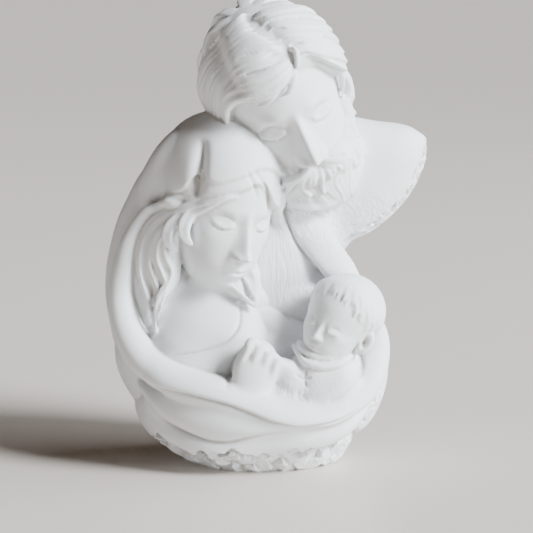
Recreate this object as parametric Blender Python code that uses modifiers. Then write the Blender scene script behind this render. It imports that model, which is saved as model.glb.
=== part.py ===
"""A white cast bust group: a man, a woman and an infant wrapped in one mantle on a rough-hewn foot.

The group is one casting, so it is one object. It is roughed out from spheres that are moved into heads,
locks of hair, folds and fingers, fused by a voxel Remesh, carved with strokes along its surface, thinned
to a faceted solid and cut off flat to stand. Lengths inside the model are in parts, 250 to its height.
+X is to the viewer's right, -Y is the front and +Z is up.
"""

import math
import random

import bmesh
import bpy
import numpy as np
from mathutils import Matrix

# Driving sizes, in metres
STATUE_HEIGHT = 0.250
MAN_HEAD = 0.099
WOMAN_HEAD = 0.086
CHILD_HEAD = 0.047
HAND_LENGTH = 0.030
FOOT_WIDTH = 0.082
FOOT_DEPTH = 0.068
HEM_WIDTH = 0.016
LOCK_WIDTH = 0.0085
VOXEL = 0.0012
TRIANGLES = 9600

# The unit that poses and outlines are given in
PART = STATUE_HEIGHT / 250

CAST_WHITE = (0.86, 0.86, 0.85, 1.0)
CAST_ROUGHNESS = 0.62

SEED = 12


# Tools

def smooth(low, high, value):
    """0 below low, 1 above high and a smooth step between them."""
    t = np.clip((value - low) / (high - low), 0.0, 1.0)
    return t * t * (3.0 - 2.0 * t)


def curve_through(points, count):
    """count points evenly along a smooth curve through the given rows, which may carry widths too."""
    rows = np.array(points, float)
    padded = np.vstack([2 * rows[0] - rows[1], rows, 2 * rows[-1] - rows[-2]])
    spans = len(rows) - 1
    where = np.linspace(0.0, spans, max(count * 4, 64))
    span = np.minimum(where.astype(int), spans - 1)
    t = (where - span)[:, None]
    a, b, c, d = (padded[span + k] for k in range(4))
    dense = 0.5 * (2 * b + (c - a) * t + (2 * a - 5 * b + 4 * c - d) * t**2 + (3 * b - a - 3 * c + d) * t**3)
    steps = np.linalg.norm(np.diff(dense[:, :3], axis=0), axis=1)
    along = np.concatenate([[0.0], np.cumsum(steps)])
    even = np.linspace(0.0, along[-1], count)
    return np.stack([np.interp(even, along, dense[:, k]) for k in range(dense.shape[1])], axis=1)


SPHERES = {}


def sphere(segments, rings):
    """A unit sphere as a mesh, its points, and each point's turn round Z and share from top to bottom."""
    if (segments, rings) not in SPHERES:
        bm = bmesh.new()
        bmesh.ops.create_uvsphere(bm, u_segments=segments, v_segments=rings, radius=1.0)
        bmesh.ops.triangulate(bm, faces=bm.faces)
        points = np.array([v.co for v in bm.verts])
        ball = bpy.data.meshes.new("ball")
        bm.to_mesh(ball)
        bm.free()
        turn = np.arctan2(points[:, 1], points[:, 0])
        down = np.arccos(np.clip(points[:, 2], -1.0, 1.0)) / math.pi
        SPHERES[(segments, rings)] = (ball, points, turn, down)
    return SPHERES[(segments, rings)]


class Clay:
    """Closed forms gathered in one mesh, in parts, until they are fused."""

    def __init__(self):
        self.bm = bmesh.new()

    def add(self, ball, points):
        """Takes a copy of a ball with its points moved."""
        form = ball.copy()
        form.vertices.foreach_set("co", np.asarray(points, np.float32).ravel())
        self.bm.from_mesh(form)
        bpy.data.meshes.remove(form)

    def ball(self, centre, radii, turn=None, segments=48, rings=32):
        """An ellipsoid, turned by a 3 by 3 matrix."""
        ball, points, _, _ = sphere(segments, rings)
        points = points * radii
        if turn is not None:
            points = points @ np.array(turn).T
        self.add(ball, points + centre)

    def cushion(self, centre, outline, front, back, plump=1.0):
        """A lens seen from the front with its outline given as rows of angle and radius."""
        ball, points, _, _ = sphere(160, 100)
        angle = np.degrees(np.arctan2(points[:, 2], points[:, 0])) % 360.0
        rows = np.array(outline, float)
        wrapped = np.vstack([rows[-1] - (360.0, 0.0), rows, rows[0] + (360.0, 0.0)])
        fine = curve_through(np.hstack([wrapped, np.zeros((len(wrapped), 1))]), 240)
        radius = np.interp(angle, fine[:, 0], fine[:, 1])
        share = np.hypot(points[:, 0], points[:, 2])
        spread = share**plump / np.maximum(share, 1e-6)
        deep = np.where(points[:, 1] < 0, front, back)
        shaped = np.stack([points[:, 0] * radius * spread, points[:, 1] * deep, points[:, 2] * radius * spread], 1)
        self.add(ball, shaped + centre)

    def strand(self, rows, facing, lobes=0, groove=0.0, blunt=0.35, segments=24, rings=44, twist=0.0):
        """A tapered form swept along rows of x, y, z, half width and half thickness.

        facing is the point that its thin side turns away from. Lobes cut grooves along it, and twist turns
        them round it, in turns from end to end.
        """
        ball, _, turn, down = sphere(segments, rings)
        line = curve_through(rows, 96)
        share = np.linspace(0.0, 1.0, 96)
        at = np.stack([np.interp(down, share, line[:, k]) for k in range(5)], axis=1)
        ahead = np.gradient(line[:, :3], axis=0)
        ahead /= np.linalg.norm(ahead, axis=1)[:, None]
        out = line[:, :3] - np.array(facing, float)
        out -= (out * ahead).sum(1)[:, None] * ahead
        out /= np.maximum(np.linalg.norm(out, axis=1)[:, None], 1e-6)
        side = np.cross(ahead, out)
        out = np.stack([np.interp(down, share, out[:, k]) for k in range(3)], axis=1)
        side = np.stack([np.interp(down, share, side[:, k]) for k in range(3)], axis=1)
        swell = np.sin(math.pi * np.clip(down, 0.0, 1.0)) ** blunt
        if lobes:
            swell = swell * (1.0 - groove * (0.5 + 0.5 * np.cos(lobes * turn + math.tau * twist * down)))
        across = (np.cos(turn) * at[:, 3] * swell)[:, None] * side
        through = (np.sin(turn) * at[:, 4] * swell)[:, None] * out
        self.add(ball, at[:, :3] + across + through)


def fused(clay, name, voxel, passes):
    """The clay in metres as one skin: a voxel Remesh drops what lies inside and a Smooth fills the joins."""
    mesh = bpy.data.meshes.new(name)
    bmesh.ops.scale(clay.bm, vec=(PART, PART, PART), verts=clay.bm.verts)
    clay.bm.to_mesh(mesh)
    clay.bm.free()
    obj = bpy.data.objects.new(name, mesh)
    bpy.context.scene.collection.objects.link(obj)
    skin = obj.modifiers.new("Skin", "REMESH")
    skin.mode = "VOXEL"
    skin.voxel_size = voxel
    if passes:
        soften = obj.modifiers.new("Soften", "SMOOTH")
        soften.factor = 0.5
        soften.iterations = passes
    return applied(obj)


def applied(obj):
    """The object with its modifiers made part of its mesh."""
    graph = bpy.context.evaluated_depsgraph_get()
    mesh = bpy.data.meshes.new_from_object(obj.evaluated_get(graph))
    old = obj.data
    obj.modifiers.clear()
    obj.data = mesh
    bpy.data.meshes.remove(old)
    return obj


def points_of(mesh):
    """The mesh's points as an array, in parts."""
    found = np.empty(len(mesh.vertices) * 3, np.float32)
    mesh.vertices.foreach_get("co", found)
    return found.reshape(-1, 3).astype(float) / PART


def normals_of(mesh):
    """The mesh's point normals as an array."""
    found = np.empty(len(mesh.vertices) * 3, np.float32)
    mesh.vertex_normals.foreach_get("vector", found)
    return found.reshape(-1, 3).astype(float)


def put_points(mesh, points):
    """Gives the mesh its points back."""
    mesh.vertices.foreach_set("co", (points * PART).astype(np.float32).ravel())
    mesh.update()


def push(points, centre, radii, move):
    """Moves the points near centre by move, fading like a bell over radii."""
    near = np.exp(-(((points - centre) / radii) ** 2).sum(1))
    return points + near[:, None] * np.array(move, float)


def push_pair(points, centre, radii, move):
    """The same on both sides of the middle, mirrored."""
    for side in (-1.0, 1.0):
        flip = np.array([side, 1.0, 1.0])
        points = push(points, np.array(centre) * flip, radii, np.array(move) * flip)
    return points


def turned(pitch, yaw, roll):
    """The rotation of a head that first nods down by pitch, then turns by yaw and leans by roll, in degrees."""
    nod = Matrix.Rotation(math.radians(pitch), 3, "X")
    swing = Matrix.Rotation(math.radians(yaw), 3, "Z")
    lean = Matrix.Rotation(math.radians(roll), 3, "Y")
    return np.array(lean @ swing @ nod)


class Surface:
    """The fused skin's points while strokes and chips are worked into them, in parts."""

    def __init__(self, mesh):
        self.mesh = mesh
        self.points = points_of(mesh)
        self.normals = normals_of(mesh)

    def stroke(self, path, width, lift, step=False, ends=0.5, depth=16.0):
        """Raises or cuts the front along rows of x, y, z, as seen from the front.

        A step lifts only the side to the left of the path's run and falls off sharply at the path.
        """
        line = curve_through(path, 80)
        reach_to = 4.0 * width + 2.0
        low = line.min(0) - reach_to
        high = line.max(0) + reach_to
        p = self.points
        seen = (p[:, 0] > low[0]) & (p[:, 0] < high[0]) & (p[:, 2] > low[2]) & (p[:, 2] < high[2])
        seen &= (self.normals[:, 1] < 0.35) & (p[:, 1] < high[1] + depth)
        index = np.nonzero(seen)[0]
        if len(index) == 0:
            return
        near = p[index]
        apart = (near[:, None, 0] - line[None, :, 0]) ** 2 + (near[:, None, 2] - line[None, :, 2]) ** 2
        k = apart.argmin(1)
        away = np.sqrt(apart[np.arange(len(k)), k])
        same = np.exp(-((np.maximum(np.abs(near[:, 1] - line[k, 1]) - 6.0, 0.0) / depth * 2.0) ** 2))
        fade = np.sin(math.pi * np.clip((k + 0.5) / 80.0, 0.0, 1.0)) ** ends * same
        if step:
            run = np.gradient(line[:, [0, 2]], axis=0)
            run /= np.linalg.norm(run, axis=1)[:, None]
            gap = near[:, [0, 2]] - line[k][:, [0, 2]]
            left = run[k, 0] * gap[:, 1] - run[k, 1] * gap[:, 0]
            amount = smooth(-0.5, 0.9, left) * np.exp(-((np.maximum(left, 0.0) / width) ** 2))
            amount *= np.exp(-((np.maximum(away - np.abs(left), 0.0) / 2.0) ** 2))
        else:
            amount = np.exp(-((away / width) ** 2))
        self.points[index] += (lift * amount * fade)[:, None] * self.normals[index]

    def chips(self, places, size, bite, spread, rng):
        """Strikes flats off at the given rows of x, y, z: what stands beyond each plane is pressed onto it."""
        for place in places:
            offset = self.points - np.array(place, float)
            gap = np.sqrt((offset**2).sum(1))
            radius = size * rng.uniform(0.7, 1.3)
            index = np.nonzero(gap < radius)[0]
            if len(index) < 8:
                continue
            way = self.normals[index].mean(0)
            way += np.array([rng.uniform(-spread, spread) for _ in range(3)])
            way /= np.linalg.norm(way)
            beyond = offset[index] @ way
            top = np.quantile(beyond, 0.93)
            over = np.maximum(beyond - (top - bite * rng.uniform(0.5, 1.4)), 0.0)
            fade = smooth(radius, 0.82 * radius, gap[index])
            self.points[index] -= (over * fade)[:, None] * way

    def fresh_normals(self):
        """The point normals once the points have moved."""
        put_points(self.mesh, self.points)
        return normals_of(self.mesh)

    def relax(self, centre, radii, passes):
        """Evens the surface out within radii of centre, as a wet brush would."""
        found = np.empty(len(self.mesh.edges) * 2, np.int32)
        self.mesh.edges.foreach_get("vertices", found)
        one, two = found.reshape(-1, 2).T
        p = self.points
        near = (((p - np.array(centre, float)) / radii) ** 2).sum(1)
        share = smooth(1.0, 0.6, near)
        kept = (share[one] > 0) | (share[two] > 0)
        one, two = one[kept], two[kept]
        ends = np.concatenate([one, two])
        count = np.maximum(np.bincount(ends, minlength=len(p)), 1)
        for _ in range(passes):
            others = np.concatenate([p[two], p[one]])
            mean = np.stack([np.bincount(ends, others[:, k], len(p)) for k in range(3)], axis=1) / count[:, None]
            p = p + (0.6 * share)[:, None] * (mean - p)
        self.points = p

    def done(self):
        """Writes the points back."""
        put_points(self.mesh, self.points)


# Heads. Inside a head, lengths are shares of its height, with the origin at its middle and the face at -Y

ADULT_SKULL = (((0.0, 0.035, 0.13), (0.325, 0.43, 0.37)), ((0.0, -0.11, -0.13), (0.262, 0.300, 0.365)))
CHILD_SKULL = (((0.0, 0.040, 0.09), (0.410, 0.47, 0.41)), ((0.0, -0.13, -0.14), (0.305, 0.300, 0.35)))
SOFTNESS = 12


def reach(directions, skull):
    """How far the skull's surface lies from the middle of the head, along each direction."""
    total = np.zeros(len(directions))
    for centre, radii in skull:
        along = directions / radii
        offset = np.array(centre) / radii
        a = (along**2).sum(1)
        b = along @ offset
        total += ((b + np.sqrt(b**2 - a * (offset @ offset - 1.0))) / a) ** SOFTNESS
    return total ** (1.0 / SOFTNESS)


def direction(lon, lat):
    """Unit directions from a turn away from the nose, positive to the viewer's right, and a height, in degrees."""
    lon, lat = np.radians(lon), np.radians(lat)
    return np.stack([np.sin(lon) * np.cos(lat), -np.cos(lon) * np.cos(lat), np.sin(lat)], axis=-1)


class Head:
    """A head in the group: its size, place, lean, skull and the proportions of its face."""

    def __init__(self, height, centre, lean, skull, face):
        self.height = height / PART
        self.centre = np.array(centre, float)
        self.turn = turned(*lean)
        self.skull = skull
        self.face = face

    def placed(self, points):
        """Head shares to parts of the group."""
        return (np.asarray(points) * self.height) @ self.turn.T + self.centre

    def over(self, lon, lat, lift):
        """Points at a lift above the skull, in head shares."""
        ways = direction(np.asarray(lon, float), np.asarray(lat, float))
        return ways * (reach(ways, self.skull) + np.asarray(lift))[:, None]

    def lock(self, clay, path, width, thickness, lobes=3, groove=0.3, blunt=0.5, taper=0.6):
        """A lock of hair along rows of turn, height and lift, with sizes in head shares."""
        rows = np.array(path, float)
        share = np.linspace(0.0, 1.0, len(rows))
        slim = 1.0 - taper * share**2
        at = self.placed(self.over(rows[:, 0], rows[:, 1], rows[:, 2]))
        size = self.height * np.stack([width * slim, thickness * slim], axis=1)
        clay.strand(np.hstack([at, size]), self.centre, lobes, groove, blunt)

    def add_face(self, clay, segments, rings):
        """The bare head, with its face worked out from its proportions."""
        f = self.face
        ball, ways, _, _ = sphere(segments, rings)
        p = ways * reach(ways, self.skull)[:, None]
        eye_x, eye_z, nose_z, mouth_z = f["eye_x"], f["eye_z"], f["nose_z"], f["mouth_z"]
        p = push_pair(p, (0.20, -0.26, eye_z - 0.07), (0.09, 0.12, 0.08), (0.012, -0.012 - f["cheek"], 0.0))
        p = push_pair(p, (0.13, -0.32, nose_z - 0.08), (0.10, 0.10, 0.11), (0.01, -f["cheek"], -0.0))
        p = push_pair(p, (0.21, -0.08, -0.33), (0.09, 0.12, 0.10), (f["jaw"], 0.0, -0.5 * f["jaw"]))
        p = push(p, (0.0, -0.34, -0.435), (0.085, 0.09, 0.065), (0.0, -f["chin"], -0.012))
        p = push_pair(p, (0.10, -0.40, eye_z + 0.085), (0.085, 0.10, 0.030), (0.0, -f["brow"], 0.0))
        p = push_pair(p, (eye_x, -0.40, eye_z + 0.005), (0.080, 0.12, 0.050), (0.0, f["socket"], 0.0))
        p = push(p, (0.0, -0.38, mouth_z), (0.12, 0.10, 0.085), (0.0, -0.024, 0.0))
        p[:, 1] -= self.features(p) * smooth(-0.05, -0.2, p[:, 1])
        clay.add(ball, self.placed(p))

    def features(self, p):
        """How far the nose, the lowered lids and the lips stand forward at each point."""
        f = self.face
        eye_x, eye_z, nose_z, mouth_z = f["eye_x"], f["eye_z"], f["nose_z"], f["mouth_z"]
        z = p[:, 2]
        width = np.abs(p[:, 0])
        # The nose rises from its root to its tip and stops short above the lip
        root, tip = eye_z + 0.05, nose_z + 0.030
        along = np.clip((root - z) / (root - tip), 0.0, 1.0)
        height = f["nose"] * (0.20 + 0.80 * along**1.15)
        height *= smooth(root + 0.07, root - 0.03, z) * smooth(nose_z - 0.022, nose_z + 0.022, z)
        breadth = 0.030 + f["nostril"] * along**2.2 * 0.55
        forward = height * np.exp(-((width / breadth) ** 2.6))
        wing = np.exp(-(((width - f["nostril"] * 0.86) / 0.024) ** 2) - ((z - nose_z - 0.020) / 0.026) ** 2)
        forward += f["nose"] * 0.40 * wing
        under = np.exp(-(((width - 0.026) / 0.016) ** 2) - ((z - nose_z + 0.004) / 0.012) ** 2)
        forward -= 0.022 * under
        # Lids lie over each eyeball, and their edges meet in a shallow hanging arc
        u = (width - eye_x) / f["eye_w"]
        inside = np.clip(1.0 - u**2, 0.0, 1.0)
        v = (z - eye_z) / f["eye_h"]
        forward += f["lid"] * np.sqrt(np.clip(1.0 - 0.75 * u**2 - v**2, 0.0, 1.0))
        edge = eye_z - 0.30 * f["eye_h"] - 0.55 * f["eye_h"] * inside
        forward -= 0.012 * np.exp(-(((z - edge) / 0.0080) ** 2)) * smooth(0.0, 0.25, inside)
        fold = eye_z + 0.35 * f["eye_h"] + 0.75 * f["eye_h"] * inside
        forward -= 0.010 * np.exp(-(((z - fold) / 0.009) ** 2)) * smooth(-0.25, 0.3, 1.0 - u**2)
        # Lips: a bowed upper one, a fuller lower one and the line where they meet
        m = width / f["mouth_w"]
        open_to = np.clip(1.0 - m**2, 0.0, 1.0)
        line = mouth_z + 0.006 * np.cos(4.5 * m) * open_to + 0.004 * m**2
        upper = line + 0.017 + 0.004 * np.cos(6.0 * m)
        forward += f["lips"] * 0.85 * np.exp(-(((z - upper) / 0.0135) ** 2)) * np.sqrt(open_to)
        forward += f["lips"] * np.exp(-(((z - line + 0.024) / 0.018) ** 2)) * open_to**0.8
        forward -= 0.014 * np.exp(-(((z - line) / 0.0070) ** 2)) * smooth(1.25, 0.75, m)
        forward -= 0.016 * np.exp(-(((z - mouth_z + 0.068) / 0.022) ** 2) - (width / 0.07) ** 2)
        trough = np.exp(-((width / 0.014) ** 2) - ((z - 0.5 * (mouth_z + nose_z) - 0.012) / 0.028) ** 2)
        return forward - 0.007 * trough

    def add_cap(self, clay, bounds, lift, bare=-0.03, edge=5.0):
        """A cap of hair or cloth over the skull, above a limit that bounds gives as rows of turn and height."""
        ball, ways, _, _ = sphere(180, 130)
        lon = np.degrees(np.arctan2(ways[:, 0], -ways[:, 1]))
        lat = np.degrees(np.arcsin(np.clip(ways[:, 2], -1.0, 1.0)))
        even = curve_through([(*row, 0.0) for row in bounds], 240)
        limit = np.interp(lon, even[:, 0], even[:, 1])
        cover = smooth(-edge, edge, lat - limit)
        height = bare + (lift - bare) * cover
        clay.add(ball, self.placed(ways * (reach(ways, self.skull) + height)[:, None]))

    def add_ear(self, clay, side, size, lon=94.0):
        """An ear: a flat form with a rolled rim, a bowl and a lobe."""
        ball, p, _, _ = sphere(56, 40)
        up, fore, out = p[:, 2], p[:, 1], p[:, 0] * side
        away = np.sqrt((fore / 0.95) ** 2 + up**2)
        rim = np.exp(-(((away - 0.80) / 0.16) ** 2)) * smooth(-0.75, -0.35, up + 0.6 * fore + 0.1)
        bowl = np.exp(-(((fore + 0.10) / 0.42) ** 2) - ((up + 0.05) / 0.50) ** 2)
        depth = np.where(out > 0, 0.30 + 0.40 * rim - 0.50 * bowl, 0.50)
        flat = np.sign(out) * side * depth * np.sqrt(np.abs(out))
        shaped = np.stack([flat, fore * (0.56 + 0.16 * up), up], axis=1)
        back = Matrix.Rotation(math.radians(-10), 3, "X")
        tilt = np.array(back @ Matrix.Rotation(math.radians(-40 * side), 3, "Z"))
        spot = self.over([lon * side], [self.face["ear_lat"]], [0.03])[0]
        clay.add(ball, self.placed(shaped @ tilt.T * size + spot))


MAN_FACE = {
    "eye_x": 0.140, "eye_z": 0.000, "eye_w": 0.066, "eye_h": 0.036, "nose_z": -0.205, "mouth_z": -0.305,
    "nose": 0.112, "nostril": 0.072, "mouth_w": 0.100, "lips": 0.014, "cheek": -0.006, "jaw": 0.020,
    "chin": 0.040, "brow": 0.024, "socket": 0.045, "lid": 0.034, "ear_lat": -7.0,
}
WOMAN_FACE = {
    "eye_x": 0.138, "eye_z": 0.000, "eye_w": 0.066, "eye_h": 0.038, "nose_z": -0.200, "mouth_z": -0.300,
    "nose": 0.100, "nostril": 0.062, "mouth_w": 0.086, "lips": 0.017, "cheek": 0.006, "jaw": 0.000,
    "chin": 0.034, "brow": 0.010, "socket": 0.036, "lid": 0.034, "ear_lat": -10.0,
}
CHILD_FACE = {
    "eye_x": 0.150, "eye_z": -0.070, "eye_w": 0.070, "eye_h": 0.042, "nose_z": -0.215, "mouth_z": -0.310,
    "nose": 0.070, "nostril": 0.062, "mouth_w": 0.076, "lips": 0.020, "cheek": 0.030, "jaw": 0.010,
    "chin": 0.026, "brow": 0.002, "socket": 0.026, "lid": 0.034, "ear_lat": -16.0,
}


# Figures. Places are rows of x, y and z in parts, and swept forms add a half width and a half thickness

def add_man(clay):
    """The man's head, bent over the woman's: wavy hair from a forelock, a curly beard and one ear."""
    head = Head(MAN_HEAD, (8.5, -5.0, 194.6), (20, 5, -24), ADULT_SKULL, MAN_FACE)
    head.add_face(clay, 200, 150)
    head.add_ear(clay, 1, 0.135, lon=80.0)
    broad = LOCK_WIDTH / MAN_HEAD / 2
    hairline = [(-180, -42), (-120, -42), (-95, -36), (-80, -22), (-64, 6), (-52, 24), (-36, 31), (0, 36), (16, 38),
                (34, 33), (48, 22), (62, 12), (80, 14), (108, 8), (124, -30), (180, -42)]
    head.add_cap(clay, hairline, 0.045)
    # Waves sweep from the parting over the left of the head, down to the cheek and onto the veil
    for k in range(17):
        t = k / 16
        up = 0.012 * (k % 2)
        rows = [(20 - 30 * t, 46 + 40 * t, 0.01), (8 - 40 * t, 53 + 33 * t, 0.045 + up),
                (-20 - 45 * t, 56 + 14 * t, 0.048 + up), (-46 - 42 * t, 47 + 2 * t, 0.052 + up),
                (-62 - 50 * t, 26 - 6 * t, 0.050 + up), (-70 - 64 * t, 2 - 14 * t, 0.046),
                (-72 - 68 * t, -16 - 20 * t, 0.03)]
        head.lock(clay, rows, broad * 0.95, 0.024, lobes=2, groove=0.25)
    # The fringe crosses the forehead
    for k in range(7):
        t = k / 6
        up = 0.010 * (k % 2)
        rows = [(17, 39 + 7 * t, 0.03), (4, 34 + 9 * t, 0.05 + up), (-14, 30 + 11 * t, 0.055 + up),
                (-34, 31 + 11 * t, 0.058 + up), (-52, 24 + 12 * t, 0.055 + up), (-64 - 2 * t, 4 + 12 * t, 0.045),
                (-69 - 3 * t, -14 + 8 * t, 0.015)]
        head.lock(clay, rows, broad * 0.85, 0.024, lobes=2, groove=0.25)
    # Locks that bridge from the parting to the waves
    for k in range(4):
        up = 0.012 * (k % 2)
        rows = [(14 - 2 * k, 46 + 2 * k, 0.03), (-6, 44 + 2.4 * k, 0.050 + up), (-26, 44 + 2.6 * k, 0.054 + up),
                (-46, 38 + 2.6 * k, 0.056 + up), (-60, 22 + 2.8 * k, 0.052), (-68, 2 + 3 * k, 0.030)]
        head.lock(clay, rows, broad * 0.9, 0.026, lobes=2, groove=0.25)
    head.lock(clay, [(14, 38, 0.04), (9, 32, 0.055), (2, 27, 0.045), (-7, 26, 0.02)], broad * 0.7, 0.020, lobes=2)
    head.lock(clay, [(2, 34, 0.03), (-8, 28, 0.05), (-18, 25, 0.04), (-27, 26, 0.015)], broad * 0.6, 0.018, lobes=2)
    # Short locks turn back over the right temple and above the ear
    for k in range(11):
        t = k / 10
        up = 0.010 * (k % 2)
        rows = [(16 - 20 * t, 42 + 42 * t, 0.01), (30 - 8 * t, 41 + 40 * t, 0.05 + up),
                (46 + 8 * t, 29 + 44 * t, 0.07 + up), (60 + 24 * t, 16 + 42 * t, 0.08 + up),
                (76 + 30 * t, 10 + 32 * t, 0.05)]
        head.lock(clay, rows, broad * 0.95, 0.024, lobes=2, groove=0.25)
    head.lock(clay, [(19, 50, 0.045), (21, 45, 0.075), (16, 38, 0.06), (11, 35, 0.03)], broad * 0.6, 0.022, lobes=2)
    head.lock(clay, [(52, 24, 0.03), (61, 12, 0.035), (64, -2, 0.025), (62, -14, 0.01)], broad * 0.8, 0.018)
    # The back of the head
    for ring, (top, low) in enumerate(((80, 46), (52, 14), (22, -20), (-4, -40))):
        for k in range(9 + 3 * ring):
            lon = 104 + 152 * (k + 0.5 * (ring % 2)) / (8 + 3 * ring)
            bend = 8 if (k + ring) % 2 else -7
            rows = [(lon, top, 0.045), (lon + bend, 0.5 * (top + low), 0.058), (lon + 0.4 * bend, low - 6, 0.035)]
            head.lock(clay, rows, broad * 1.35, 0.022)
    # Beard: rows of tapered curls round the jaw, longest below the chin
    beardline = [(-180, 90), (-80, 90), (-72, -4), (-56, -20), (-34, -26), (-14, -25), (0, -26), (14, -25), (34, -26),
                 (56, -20), (72, -4), (80, 90), (180, 90)]
    ball, ways, _, _ = sphere(140, 100)
    lon = np.degrees(np.arctan2(ways[:, 0], -ways[:, 1]))
    lat = np.degrees(np.arcsin(np.clip(ways[:, 2], -1.0, 1.0)))
    top = np.interp(lon, [b[0] for b in beardline], [b[1] for b in beardline])
    cover = smooth(3.0, -9.0, lat - top) * smooth(84.0, 66.0, np.abs(lon))
    full = 0.026 + 0.072 * smooth(-30.0, -58.0, lat)
    full -= 0.022 * np.exp(-((lon / 16.0) ** 2) - ((lat + 41.0) / 5.0) ** 2)
    clay.add(ball, head.placed(ways * (reach(ways, head.skull) - 0.04 + (0.04 + full) * cover)[:, None]))
    for ring, (top_lat, length) in enumerate(((-22, 18), (-33, 20), (-45, 22), (-58, 24))):
        for k in range(12 - ring):
            lon = -62 + 124 * k / (11 - ring)
            drop = top_lat - 14 * (1 - (abs(lon) / 62) ** 1.3) + 3 * ((k + ring) % 2)
            deep = 0.034 + 0.06 * min(1.0, max(0.0, (-30 - drop) / 28))
            bend = 8 if (k + ring) % 2 else -7
            if abs(lon) < 16 and drop > -44:
                continue
            rows = [(lon, drop, deep - 0.015), (lon + bend, drop - 0.4 * length, deep + 0.010),
                    (lon + 0.2 * bend, drop - 0.75 * length, deep + 0.012), (lon - 0.8 * bend, drop - length, deep)]
            head.lock(clay, rows, broad * 1.3, 0.022, lobes=2, groove=0.35)
    for side in (-1, 1):
        for k in range(3):
            rows = [((1 + k) * side, -27 - 3 * k, 0.02), (11 * side, -29 - 3.5 * k, 0.045),
                    (24 * side, -34 - 4 * k, 0.055), (37 * side, -43 - 4 * k, 0.045)]
            head.lock(clay, rows, broad * 0.8, 0.022, lobes=2)
    for k in range(3):
        rows = [(-70 + 5 * k, 2 - 10 * k, 0.02), (-65 + 5 * k, -10 - 9 * k, 0.035), (-66 + 7 * k, -22 - 8 * k, 0.03)]
        head.lock(clay, rows, broad * 1.1, 0.020, lobes=2)
        rows = [(64 - 3 * k, -18 - 7 * k, 0.01), (60 - 3 * k, -25 - 7 * k, 0.028), (62 - 5 * k, -34 - 6 * k, 0.02)]
        head.lock(clay, rows, broad * 0.8, 0.018, lobes=2)
    clay.strand([(22, 10, 186, 20, 18), (26, 14, 164, 22, 19), (30, 18, 140, 26, 20)], (24, 70, 170))


def add_man_body(clay):
    """The man's chest and the one shoulder that shows, broken off rough below."""
    edge = [(11, 50.5), (20, 55.0), (33, 54.7), (52, 43.6), (68, 39.2), (90, 38.0), (135, 42.0), (180, 46.0),
            (225, 54.0), (262, 46.0), (274, 41.0), (290, 32.6), (310, 33.4), (327, 35.5), (341, 38.9), (354, 43.4)]
    clay.cushion((35, 14, 148), edge, 20, 20, plump=0.62)
    clay.strand([(22, 14, 162, 20, 19), (44, 14, 165, 18.5, 18), (62, 14, 166, 16.5, 16), (76, 14, 166, 14.5, 14),
                 (87, 14, 165, 13, 12)], (50, 70, 150), blunt=0.16)
    # The robe runs on down beside the woman's face to the infant
    clay.cushion((14, 6, 116), [(0, 26), (40, 34), (90, 50), (140, 44), (180, 40), (270, 40), (320, 30)], 21, 30)
    clay.strand([(7, -4, 158, 3, 5), (13, -8, 145, 5.5, 6), (20, -11, 131, 7.5, 6), (29, -13, 118, 9.5, 6),
                 (39, -14, 105, 10.5, 6.5), (50, -12, 94, 9, 7)], (14, 40, 110))


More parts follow.
